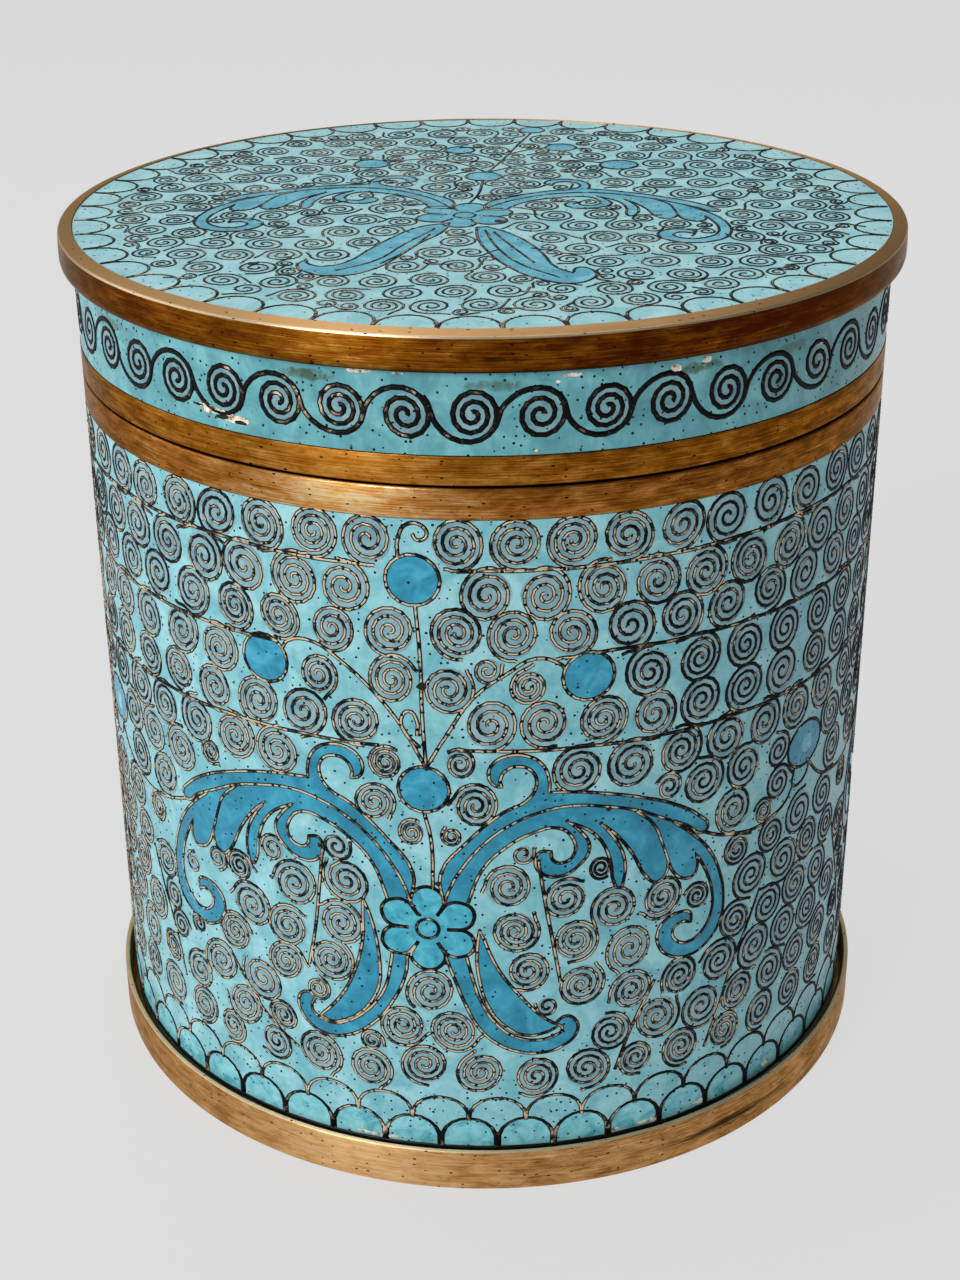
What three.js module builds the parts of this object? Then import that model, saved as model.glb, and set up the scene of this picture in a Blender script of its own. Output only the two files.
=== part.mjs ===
// A round cloisonne jar with a lift-off lid, in millimetres, +Z up.
// The origin is the centre of the circle on which the foot ring stands.
// Every piece is turned about the jar's axis: a copper vessel and a copper lid,
// an enamel skin fused over each of their outer faces, and soldered brass rims.
import * as THREE from "three";

// Overall sizes
const bodyDiameter = 116; // across the enamel of the jar and of the lid's side
const jarHeight = 107.3; // from the ground to the jar's mouth
const lidHeight = 20.1; // from the lid's lower edge to its top enamel
const seamGap = 0.3; // the dark line between the lid and the jar

// Metal and enamel
const copperWall = 1.2; // wall of the vessel and of the lid
const copperFloor = 1.2; // bottom of the vessel
const lidPlate = 1.2; // flat top of the lid
const sideEnamel = 1.1; // enamel skin on the jar and on the lid's side
const topEnamel = 1.2; // enamel on the lid's top
const underEnamel = 0.8; // plain enamel under the jar's bottom
const solderGap = 0.1; // room between pieces that are fused or soldered

// Foot ring
const footHeight = 6.6;
const footStandOff = 0.75; // open gap between the hoop and the enamel
const footHoop = 1.1; // thickness of the hoop
const footFlange = 1.2; // thickness of the flange under the jar
const footFlangeReach = 6; // how far that flange runs in under the bottom
const footFlangeRise = 1.7; // the flange's height above the ground

// Brass bands at the mouth and at the lid's lower edge
const mouthBandHeight = 4.15;
const lidBandHeight = 3.9;
const bandProud = 0.1; // how far a band stands out of the enamel
const bandChamfer = 0.25; // broken edge beside the seam
const bandLip = 1.2; // thickness of a band where it turns in over the copper's edge

// Neck that holds the lid in place
const neckHeight = 5.2; // above the mouth
const neckWall = 1;
const neckClearance = 0.4; // between the neck and the lid's wall

// Rim round the lid's top
const rimHeight = 5.4;
const rimProud = 2; // how far the rim overhangs the lid's side
const rimTopWidth = 2.1; // flat part seen from above
const rimTopFall = 0.45; // the flat falls outwards by this
const rimEdge = 0.35; // small round at the rim's upper edge
const rimUnderRound = 1.5; // round under the rim's outer face

// Roundness
const turnSegments = 88; // divides by four, so the pieces reach their full width along X and Y
const rimArcSteps = 3;

// Radii that several pieces share
const bodyRadius = bodyDiameter / 2;
const copperOuter = bodyRadius - sideEnamel - solderGap;
const copperInner = copperOuter - copperWall;
const skinInner = copperOuter + solderGap;
const neckOuter = copperInner - neckClearance;
const neckInner = neckOuter - neckWall;
const bandOuter = bodyRadius + bandProud;

// Heights in the jar
const floorUnderside = footFlangeRise + footFlange + solderGap;
const mouthBandLow = jarHeight - mouthBandHeight;
const vesselTop = jarHeight - bandLip - solderGap;

// Heights in the lid, above its lower edge
const lidPlateTop = lidHeight - topEnamel - solderGap;
const rimLow = lidHeight - rimHeight;
const lidWallLow = bandLip + solderGap;

const brass = { color: 0xa97a3d, roughness: 0.38, metalness: 0.9 };
const copper = { color: 0xb06f45, roughness: 0.45, metalness: 0.9 };
const enamel = { color: 0x86cfd6, roughness: 0.22, metalness: 0 };

// A named piece turned about +Z from a section of [radius, height] points, which go
// anticlockwise with the radius to the right. A section that doesn't lie on the axis closes itself.
function turned(name, section, finish) {
  const points = section.map(([radius, height]) => new THREE.Vector2(radius, height));
  const onAxis = section[0][0] === 0;
  if (!onAxis) points.push(points[0].clone());
  const geometry = new THREE.LatheGeometry(points, turnSegments);
  geometry.rotateX(Math.PI / 2);
  const mesh = new THREE.Mesh(geometry, new THREE.MeshStandardMaterial(finish));
  mesh.name = name;
  return mesh;
}

// A plain hoop between two radii and two heights.
function hoopSection(innerRadius, outerRadius, low, high) {
  return [
    [innerRadius, low],
    [outerRadius, low],
    [outerRadius, high],
    [innerRadius, high],
  ];
}

// A solid disc between two heights.
function discSection(radius, low, high) {
  return [
    [0, low],
    [radius, low],
    [radius, high],
    [0, high],
  ];
}

// Points of a quarter round about a centre, from one angle to another in degrees.
function arcPoints(centreRadius, centreHeight, round, fromDegrees, toDegrees) {
  const points = [];
  for (let step = 0; step <= rimArcSteps; step += 1) {
    const share = step / rimArcSteps;
    const angle = THREE.MathUtils.degToRad(fromDegrees + (toDegrees - fromDegrees) * share);
    points.push([centreRadius + round * Math.cos(angle), centreHeight + round * Math.sin(angle)]);
  }
  return points;
}

// The copper vessel: a straight wall on a flat bottom, open at the top.
function jarVessel() {
  return turned(
    "jar_copper_vessel",
    [
      [0, floorUnderside],
      [copperOuter, floorUnderside],
      [copperOuter, vesselTop],
      [copperInner, vesselTop],
      [copperInner, floorUnderside + copperFloor],
      [0, floorUnderside + copperFloor],
    ],
    copper,
  );
}

// The enamel skin of the jar, from the bottom to the mouth band.
function jarEnamel() {
  const section = hoopSection(skinInner, bodyRadius, floorUnderside, mouthBandLow - solderGap);
  return turned("jar_enamel", section, enamel);
}

// Plain enamel under the bottom, inside the foot's flange.
function underside() {
  const radius = copperOuter - footFlangeReach - solderGap;
  const high = floorUnderside - solderGap;
  return turned("underside_enamel", discSection(radius, high - underEnamel, high), enamel);
}

// The foot: a hoop that stands off the enamel, on a flange soldered under the bottom.
function footRing() {
  const hoopInner = bodyRadius + footStandOff;
  const hoopOuter = hoopInner + footHoop;
  const flangeInner = copperOuter - footFlangeReach;
  const flangeTop = footFlangeRise + footFlange;
  return turned(
    "foot_ring",
    [
      [hoopInner, 0],
      [hoopOuter, 0],
      [hoopOuter, footHeight],
      [hoopInner, footHeight],
      [hoopInner, flangeTop],
      [flangeInner, flangeTop],
      [flangeInner, footFlangeRise],
      [hoopInner, footFlangeRise],
    ],
    brass,
  );
}

// The mouth: a band outside the wall, a lip over the copper's edge, and the neck for the lid.
function mouthRim() {
  return turned(
    "mouth_rim",
    [
      [skinInner, mouthBandLow],
      [bandOuter, mouthBandLow],
      [bandOuter, jarHeight - bandChamfer],
      [bandOuter - bandChamfer, jarHeight],
      [neckOuter, jarHeight],
      [neckOuter, jarHeight + neckHeight],
      [neckInner, jarHeight + neckHeight],
      [neckInner, jarHeight - bandLip],
      [skinInner, jarHeight - bandLip],
    ],
    brass,
  );
}

// The copper lid: a flat plate on a short wall, open below.
function lidShell() {
  return turned(
    "lid_copper_shell",
    [
      [0, lidPlateTop - lidPlate],
      [copperInner, lidPlateTop - lidPlate],
      [copperInner, lidWallLow],
      [copperOuter, lidWallLow],
      [copperOuter, lidPlateTop],
      [0, lidPlateTop],
    ],
    copper,
  );
}

// The enamel skin of the lid's side, between its lower band and its rim.
function lidSideEnamel() {
  const section = hoopSection(skinInner, bodyRadius, lidBandHeight + solderGap, rimLow - solderGap);
  return turned("lid_side_enamel", section, enamel);
}

// The enamel on the lid's top, inside the rim.
function lidTopEnamel() {
  const radius = bodyRadius + rimProud - rimTopWidth - solderGap;
  return turned("lid_top_enamel", discSection(radius, lidPlateTop + solderGap, lidHeight), enamel);
}

// The lid's lower band, which turns in under the copper's edge.
function lidBand() {
  return turned(
    "lid_lower_band",
    [
      [copperInner, 0],
      [bandOuter - bandChamfer, 0],
      [bandOuter, bandChamfer],
      [bandOuter, lidBandHeight],
      [skinInner, lidBandHeight],
      [skinInner, bandLip],
      [copperInner, bandLip],
    ],
    brass,
  );
}

// The rim round the lid's top: a flat that falls a little outwards, an upright face, a rounded underside.
function lidTopRim() {
  const rimOuter = bodyRadius + rimProud;
  const flatInner = rimOuter - rimTopWidth;
  const edgeCentre = lidHeight - rimTopFall - rimEdge;
  return turned(
    "lid_top_rim",
    [
      [skinInner, rimLow],
      ...arcPoints(rimOuter - rimUnderRound, rimLow + rimUnderRound, rimUnderRound, -90, 0),
      ...arcPoints(rimOuter - rimEdge, edgeCentre, rimEdge, 0, 75),
      [flatInner, lidHeight],
      [flatInner, lidPlateTop],
      [skinInner, lidPlateTop],
    ],
    brass,
  );
}

const jar = new THREE.Group();
jar.add(jarVessel(), jarEnamel(), underside(), footRing(), mouthRim());

const lid = new THREE.Group();
lid.add(lidShell(), lidSideEnamel(), lidTopEnamel(), lidBand(), lidTopRim());
lid.position.z = jarHeight + seamGap;

const part = new THREE.Group();
part.add(jar, lid);

export default part;
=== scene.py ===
import math
import random

import bmesh
import bpy
import numpy as np
from mathutils import Matrix, Vector, kdtree


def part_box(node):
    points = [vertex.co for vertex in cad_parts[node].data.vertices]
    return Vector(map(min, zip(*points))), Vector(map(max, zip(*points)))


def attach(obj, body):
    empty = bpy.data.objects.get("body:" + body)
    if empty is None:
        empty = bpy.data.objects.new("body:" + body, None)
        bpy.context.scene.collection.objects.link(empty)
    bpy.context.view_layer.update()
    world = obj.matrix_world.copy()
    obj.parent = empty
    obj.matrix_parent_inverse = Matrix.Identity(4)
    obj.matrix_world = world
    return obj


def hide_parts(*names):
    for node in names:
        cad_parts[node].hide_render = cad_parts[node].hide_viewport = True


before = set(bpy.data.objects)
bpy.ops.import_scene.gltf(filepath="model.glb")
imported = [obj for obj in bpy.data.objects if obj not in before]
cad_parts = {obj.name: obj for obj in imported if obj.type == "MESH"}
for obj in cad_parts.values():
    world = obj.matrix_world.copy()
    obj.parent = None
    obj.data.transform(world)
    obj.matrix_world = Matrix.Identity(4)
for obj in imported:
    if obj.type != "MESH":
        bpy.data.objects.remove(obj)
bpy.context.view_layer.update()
print("frame loaded")

# A round enamelled canister. Lengths in this script are millimetres until a piece is put in place.
mm = 0.001


def nodeSpan(node):
    low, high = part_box(node)
    return {"radius": high.x / mm, "low": low.z / mm, "high": high.z / mm}


jarSkin = nodeSpan("jar_enamel")
lidSkin = nodeSpan("lid_side_enamel")
lidDisc = nodeSpan("lid_top_enamel")
lidRim = nodeSpan("lid_top_rim")
lidBand = nodeSpan("lid_lower_band")
mouthBand = nodeSpan("mouth_rim")
footHoop = nodeSpan("foot_ring")
jarCopper = nodeSpan("jar_copper_vessel")
lidCopper = nodeSpan("lid_copper_shell")

lidTopSunk = 0.2  # the lid's enamel lies this much lower, so its wires stay level with the rim
lidTopLevel = lidDisc["high"] - lidTopSunk
aroundJar = 2 * math.pi * jarSkin["radius"]
sectorCount = 3  # the big flower motif comes three times round the jar
sectorWidth = aroundJar / sectorCount

camera = {
    "focalPixels": 2122.3,  # in the photograph's own 960 x 1280 frame
    "framePixels": 1280,
    "sensor": 36,
    "back": 299.97,
    "height": 203.67,
    "yaw": -0.144,
    "pitch": 25.789,
    "roll": -0.396,
}


def placeCamera(settings):
    data = bpy.data.cameras.new("photo_camera")
    data.sensor_width = settings["sensor"]
    data.lens = settings["focalPixels"] / settings["framePixels"] * settings["sensor"]
    data.clip_start = 0.01
    cam = bpy.data.objects.new("photo_camera", data)
    bpy.context.scene.collection.objects.link(cam)
    spot = Matrix.Translation((0, -settings["back"] * mm, settings["height"] * mm))
    turn = Matrix.Rotation(math.radians(-settings["yaw"]), 4, "Z")
    tilt = Matrix.Rotation(math.radians(90 - settings["pitch"]), 4, "X")
    roll = Matrix.Rotation(math.radians(settings["roll"]), 4, "Z")
    cam.matrix_world = spot @ turn @ tilt @ roll
    bpy.context.scene.camera = cam


placeCamera(camera)
print("camera placed")


# Materials

def linearColour(hexValue):
    channels = [int(hexValue[i:i + 2], 16) / 255 for i in (1, 3, 5)]
    linear = [c / 12.92 if c <= 0.04045 else ((c + 0.055) / 1.055) ** 2.4 for c in channels]
    return (*linear, 1.0)


def setInputs(tree, node, inputs):
    # A value is a constant, a colour's hex code, a socket, or a node, which gives its first output.
    for key, value in inputs.items() if isinstance(inputs, dict) else enumerate(inputs):
        if isinstance(value, bpy.types.Node):
            value = value.outputs[0]
        if isinstance(value, bpy.types.NodeSocket):
            tree.links.new(value, node.inputs[key])
        else:
            node.inputs[key].default_value = linearColour(value) if isinstance(value, str) else value


def addNode(tree, kind, inputs=(), stops=(), **settings):
    node = tree.nodes.new("ShaderNode" + kind)
    for key, value in settings.items():
        setattr(node, key, value)
    if stops:  # a colour ramp's positions and colours
        elements = node.color_ramp.elements
        while len(elements) < len(stops):
            elements.new(0.5)
        for element, (place, colour) in zip(elements, stops):
            element.position = place
            element.color = linearColour(colour) if isinstance(colour, str) else (colour,) * 3 + (1,)
    setInputs(tree, node, inputs)
    return node


def newMaterial(name, constants):
    material = bpy.data.materials.new(name)
    material.use_nodes = True
    tree = material.node_tree
    tree.nodes.clear()
    shader = addNode(tree, "BsdfPrincipled", constants)
    addNode(tree, "OutputMaterial", {"Surface": shader})
    return material, tree, shader


def surfaceMillimetres(tree, flat):
    # Flat pieces read x and y, turned ones the arc length round the jar and the height, all in mm.
    place = addNode(tree, "TexCoord").outputs["Object"]
    inMm = addNode(tree, "VectorMath", {0: place, "Scale": 1 / mm}, operation="SCALE")
    x, y, z = addNode(tree, "SeparateXYZ", [inMm]).outputs
    squareX = addNode(tree, "Math", [x, x], operation="MULTIPLY")
    squareSum = addNode(tree, "Math", [y, y, squareX], operation="MULTIPLY_ADD")
    radius = addNode(tree, "Math", [squareSum], operation="SQRT")
    surface = {"x": x, "radius": radius, "height": z, "place": inMm}
    if not flat:
        towardsFront = addNode(tree, "Math", [y, -1.0], operation="MULTIPLY")
        angle = addNode(tree, "Math", [x, towardsFront], operation="ARCTAN2")
        surface["arc"] = addNode(tree, "Math", [angle, jarSkin["radius"]], operation="MULTIPLY")
        fall = addNode(tree, "Math", [z, radius], operation="SUBTRACT")
        surface["place"] = addNode(tree, "CombineXYZ", [surface["arc"], fall])
    return surface


def layOver(tree, colour, layers):
    # Lays colours over one another, each by the amount that stands with it.
    for amount, covering in layers:
        mix = addNode(tree, "Mix", {"Factor": amount, 6: colour, 7: covering}, data_type="RGBA")
        colour = mix.outputs[2]
    return colour


# Vitreous enamel, fired and stoned flat: an opaque glass gloss over cloudy colour, with burst
# bubbles that show as black pinholes and a slightly wavy polish. Each kind has its light, middle
# and deep colour, the size of its clouds in mm, and how many of its bubbles burst.
firedEnamel = {
    "field": ("#97CCD3", "#80BCC5", "#66ABB7", 6.0, 0.75),
    # The scroll kinds fill each spiral a little greyer than the ground round it: painted shade from the
    # wires.
    "scroll": ("#8CAFB7", "#7AA1AA", "#67909B", 3.0, 0.4),
    "leaf": ("#3A9AB6", "#2585A3", "#1C738D", 5.0, 0.6),
    "bud": ("#44A1BD", "#2B8FAE", "#227C98", 3.0, 0.5),
    "petal": ("#5BB5C8", "#3FA3B9", "#2F8DA6", 2.6, 0.45),
    "scale": ("#8CCBD3", "#74BCC7", "#4F9FAE", 2.6, 0.6),
    "pale": ("#90CAD6", "#6FB4C8", "#3A8DAC", 1.6, 0.3),
    "plain": ("#6FB9C2", "#5DA9B4", "#4B95A2", 9.0, 0.8),
    # The lid side's tones are darker than the field's as painted shade from the overhanging rim above it.
    "lidSide": ("#74B3BA", "#5E9FA8", "#4A8A94", 6.0, 0.85),
    "lidScroll": ("#7DA5AC", "#6C969E", "#58848E", 3.0, 0.5),
    "lidTop": ("#ABDCE0", "#9CD3D9", "#88C6CF", 6.0, 0.5),
    "lidTopScroll": ("#A6D8DE", "#97CCD4", "#84BCC6", 3.0, 0.3),
    "lidLeaf": ("#76C2D5", "#57AFC6", "#4199B4", 4.0, 0.5),
}
polish = {
    "grain": 0.9, "grainTones": [(0.25, 0.43), (0.7, 0.56)], "grainShare": 0.5,
    "rough": (0.24, 0.38), "wave": 5.0, "waveDepth": 0.06 * mm,
}
pinhole = {"spacing": 1.35, "radius": 0.2, "cluster": 8.0, "crowded": (0.4, 0.62), "colour": "#060B0D"}


def enamelMaterial(kind, flat=False):
    name = f"vitreous_enamel_{kind}" + ("_flat" if flat else "")
    if name in bpy.data.materials:
        return bpy.data.materials[name]
    light, mid, deep, cloudSize, burst = firedEnamel[kind]
    material, tree, shader = newMaterial(name, {"IOR": 1.52, "Metallic": 0.0, "Specular IOR Level": 0.3})
    surface = surfaceMillimetres(tree, flat)
    place = surface["place"]
    forms = {
        "cloud": {"Scale": 1 / cloudSize, "Detail": 4.0, "Roughness": 0.6, "Distortion": 0.4},
        "grain": {"Scale": 1 / polish["grain"], "Detail": 2.0},
        "crowd": {"Scale": 1 / pinhole["cluster"], "Detail": 1.0},
        "wave": {"Scale": 1 / polish["wave"], "Detail": 3.0},
    }
    noises = {
        use: addNode(tree, "TexNoise", {"Vector": place, **form}, noise_dimensions="2D")
        for use, form in forms.items()
    }
    cloud = noises["cloud"]
    colour = addNode(tree, "ValToRGB", [cloud], [(0.3, deep), (0.5, mid), (0.68, light)])
    grainTone = addNode(tree, "ValToRGB", [noises["grain"]], polish["grainTones"])
    grained = {"Factor": polish["grainShare"], 6: colour, 7: grainTone}
    colour = addNode(tree, "Mix", grained, data_type="RGBA", blend_type="OVERLAY").outputs[2]
    if kind == "lidSide":
        colour = rimStains(tree, colour, surface)
    spaced = {"Vector": place, "Scale": 1 / pinhole["spacing"]}
    cells = addNode(tree, "TexVoronoi", spaced, voronoi_dimensions="2D")
    chance, size, _ = addNode(tree, "SeparateColor", [cells.outputs["Color"]]).outputs
    needed = addNode(tree, "MapRange", [noises["crowd"], *pinhole["crowded"], 0.85, 1.0 - burst])
    chosen = addNode(tree, "Math", [chance, needed], operation="GREATER_THAN")
    widest = pinhole["radius"] / pinhole["spacing"]
    limit = addNode(tree, "MapRange", [size, 0.0, 1.0, 0.5 * widest, widest])
    inside = addNode(tree, "Math", [cells, limit], operation="LESS_THAN")
    hole = addNode(tree, "Math", [inside, chosen], operation="MULTIPLY")
    rough = addNode(tree, "MapRange", [cloud, 0.3, 0.7, *polish["rough"]])
    relief = addNode(tree, "Math", [hole, -0.6, noises["wave"]], operation="MULTIPLY_ADD")
    setInputs(tree, shader, {
        "Base Color": layOver(tree, colour, [(hole, pinhole["colour"])]),
        "Roughness": addNode(tree, "Math", [hole, 0.5, rough], operation="MULTIPLY_ADD"),
        "Normal": addNode(tree, "Bump", {"Height": relief, "Distance": polish["waveDepth"], "Strength": 0.6}),
    })
    return material


# A stain is given by the arc length and height of its middle, half its length and height, and its strength.
stainEdge = {"ragged": 2.4, "fades": (1.3, 2.1)}


def raggedOval(tree, surface, mark, ragged):
    # How much of a stain's colour shows: full inside an oval on the jar's side, with a ragged edge.
    arc, height, halfLength, halfHeight, strength = mark
    parts = []
    for source, middle, half in (("arc", arc, halfLength), ("height", height, halfHeight)):
        span = [surface[source], middle - half, middle + half, -1.0, 1.0]
        away = addNode(tree, "MapRange", span, clamp=False)
        parts.append(addNode(tree, "Math", [away, 2.0], operation="POWER"))
    distance = addNode(tree, "Math", parts, operation="ADD")
    distance = addNode(tree, "Math", [ragged, stainEdge["ragged"], distance], operation="MULTIPLY_ADD")
    return addNode(tree, "MapRange", [distance, *stainEdge["fades"], strength, 0.0])


lidStains = {
    "green": [(-22.2, 120.7, 4.2, 0.9, 0.85), (1.4, 120.5, 4.6, 0.8, 0.6), (-58.0, 120.5, 5.0, 0.8, 0.6),
              (27.0, 120.6, 5.5, 0.9, 0.75), (43.0, 120.3, 4.0, 0.9, 0.6), (100.0, 120.4, 5.0, 1.0, 0.8)],
    "grain": 1.1, "colour": "#3B4420",
    "runs": "#4F8C86", "runWidth": 1.6, "runLength": 9.0,
}


def rimStains(tree, colour, surface):
    # Green copper salts that ran down from under the lid's rim, in some stretches only.
    fine = {"Vector": surface["place"], "Scale": 1 / lidStains["grain"], "Detail": 4.0, "Roughness": 0.7}
    ragged = addNode(tree, "TexNoise", fine, noise_dimensions="2D")
    stains = [(raggedOval(tree, surface, mark, ragged), lidStains["colour"]) for mark in lidStains["green"]]
    drawnOut = (1 / lidStains["runWidth"], 1 / lidStains["runLength"], 1)
    run = addNode(tree, "Mapping", {"Vector": surface["place"], "Scale": drawnOut})
    streak = addNode(tree, "TexNoise", {"Vector": run, "Scale": 1.0, "Detail": 3.0}, noise_dimensions="2D")
    amount = addNode(tree, "MapRange", [streak, 0.55, 0.75, 0.0, 0.4])
    return layOver(tree, colour, stains + [(amount, lidStains["runs"])])


# Copper cloisonne wire, ground flush: a bright coppery crown between black, oxidised edges, and
# blackened all over where the enamel was fired hardest, with painted shade that blackens it towards the
# right.
wireLook = {
    "sunk": 0.05, "crown": 0.12, "halfWidth": 0.38,
    "topTones": [(0.0, "#1E1915"), (0.4, "#4C4136"), (1.0, "#A39079")],
    "tones": [(0.0, "#080605"), (0.3, "#42372D"), (0.6, "#85745F"), (1.0, "#CDBA9D")],
    "speckSpacing": 1.25, "speckRadius": 0.24, "patina": 1.8, "patches": 14.0,
    # blacker towards the right, as painted shade, and towards the top on the left: from, to, and the amounts
    # there
    "right": (-5.0, 40.0, 0.0, 0.36), "left": (-18.0, -40.0, 0.0, 0.15), "top": (50.0, 90.0, 0.0, 1.0),
    "patinaShare": 1.7, "patchShare": 1.1, "brightUpTo": (1.36, 1.78, 1.0, 0.0),
    "blackEdge": (0.5, 0.62, 0.0, 1.0),
}


def wireMaterial(name, tarnished, flat=False):
    if name in bpy.data.materials:
        return bpy.data.materials[name]
    material, tree, shader = newMaterial(name, {"Metallic": 0.3, "IOR": 1.5, "Specular IOR Level": 0.15})
    surface = surfaceMillimetres(tree, flat)
    place, x, height = surface["place"], surface["x"], surface["height"]
    base = lidTopLevel if flat else jarSkin["radius"]
    level = height if flat else surface["radius"]
    rise = addNode(tree, "MapRange", [level, base, base + wireLook["crown"], 0.0, 1.0])
    patina, wide = (
        addNode(tree, "TexNoise", {"Vector": place, "Scale": 1 / size, "Detail": fine}, noise_dimensions="2D")
        for size, fine in ((wireLook["patina"], 3.0), (wireLook["patches"], 2.0))
    )
    # The ramp to the right is painted shade; the one to the upper left, the patches and the patina are
    # tarnish.
    side, left = (addNode(tree, "MapRange", [x, *wireLook[use]]) for use in ("right", "left"))
    top = addNode(tree, "MapRange", [height, *wireLook["top"]])
    tarnishAndShade = addNode(tree, "Math", [left, top, side], operation="MULTIPLY_ADD")
    tarnishAndShade = addNode(tree, "Math", [tarnishAndShade, tarnished], operation="ADD")
    tarnishAndShade = addNode(tree, "Math", [wide, wireLook["patchShare"], tarnishAndShade], operation="MULTIPLY_ADD")
    tarnishAndShade = addNode(tree, "Math", [patina, wireLook["patinaShare"], tarnishAndShade], operation="MULTIPLY_ADD")
    bright = addNode(tree, "MapRange", [tarnishAndShade, *wireLook["brightUpTo"]])
    edge = addNode(tree, "MapRange", [rise, *wireLook["blackEdge"]])
    spaced = {"Vector": place, "Scale": 1 / wireLook["speckSpacing"]}
    specks = addNode(tree, "TexVoronoi", spaced, voronoi_dimensions="2D")
    limit = wireLook["speckRadius"] / wireLook["speckSpacing"]
    clean = addNode(tree, "Math", [specks, limit], operation="GREATER_THAN")
    shown = addNode(tree, "Math", [bright, edge], operation="MULTIPLY")
    shown = addNode(tree, "Math", [shown, clean], operation="MULTIPLY")
    setInputs(tree, shader, {
        "Base Color": addNode(tree, "ValToRGB", [shown], wireLook["topTones" if flat else "tones"]),
        "Roughness": addNode(tree, "MapRange", [shown, 0.0, 1.0, 0.55, 0.36]),
    })
    return material


# Black fire scale, which beads along the wires and pools where they meet.
def fireScaleMaterial():
    name = "black_fire_scale"
    if name in bpy.data.materials:
        return bpy.data.materials[name]
    material, tree, shader = newMaterial(name, {"Metallic": 0.0, "IOR": 1.6, "Specular IOR Level": 0.2})
    place = addNode(tree, "TexCoord").outputs["Object"]
    mottle = addNode(tree, "TexNoise", {"Vector": place, "Scale": 1 / (0.7 * mm), "Detail": 2.0})
    setInputs(tree, shader, {
        "Base Color": addNode(tree, "ValToRGB", [mottle], [(0.4, "#060504"), (0.7, "#1C1511")]),
        "Roughness": addNode(tree, "MapRange", [mottle, 0.3, 0.7, 0.35, 0.55]),
    })
    return material


# Brass strip, turned and hand filed, long handled: a satin brown gold whose fine lengthwise
# scratches spread its highlights upright, pitted with black, with a painted highlight left of the
# front and painted shade towards the sides.
# Painted shade lines, painted highlight lines and wear start at one radius or height and are full at another.
agedBrass = {
    "rim": {
        "tones": ("#4A1C07", "#6E3A08", "#8C5713", "#C08A40"), "highlightGain": 0.06, "shade": -0.13,
        "burns": [(1.2, 124.4, 2.2, 0.5, 0.8), (-52.0, 124.8, 2.0, 0.4, 0.5), (20.0, 123.9, 3.0, 0.4, 0.4)],
        # black on the rim below this height: painted shadow under its lower edge
        "grime": [("height", 122.75, 122.6)],
        # the first band is a painted highlight along the rim's outer top edge; the second is wear on the flat
        # top
        "wearAndGlint": [(126.9, 127.0, "#E6CDA6"), (127.2, 127.28, "#BF9663")],
    },
    "lidBand": {
        "tones": ("#65380A", "#945911", "#B57E36", "#D2A25A"), "highlightGain": 0.04,
        # black inside the seam gap between the lid band and the mouth band: painted shade
        "grime": [("radius", 57.86, 57.8)],
    },
    "mouthBand": {
        "tones": ("#6B3D10", "#985D1E", "#BC8446", "#D2BA8A"), "highlightGain": 0.14,
        # black inside the seam gap between the mouth band and the lid band: painted shade
        "grime": [("radius", 57.84, 57.78)],
    },
    "foot": {
        "tones": ("#8F6232", "#C18E55", "#DAAC74", "#EECB92"), "highlightGain": 0.11,
        "burns": [(37.0, 2.9, 12.0, 0.9, 0.95)],
        # a painted highlight along the foot's top edge
        "wearAndGlint": [(6.42, 6.5, "#F4E0B8")],
    },
}
brassWork = {
    # length round the jar and height, in mm, of a scratch, a blotch and the space of a nick
    "marks": {"scratch": (11.0, 0.16), "blotch": (5.0, 1.5), "nick": (1.7, 0.85)},
    "toneStops": (0.38, 0.49, 0.6, 0.72),
    "pitColour": "#24160A", "burnColour": "#1F120A", "paintedShadeColour": "#050403",
    # the stretch left of the front that gets a painted highlight, and the sides, which get painted shade
    "paintedHighlight": {"arc": -18.0, "core": 4.0, "reach": 20.0},
    "shade": -0.06, "sides": ((0.0, 40.0), (-38.0, -58.0)),
    "burns": [], "grime": [], "wearAndGlint": [],
}


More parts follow.
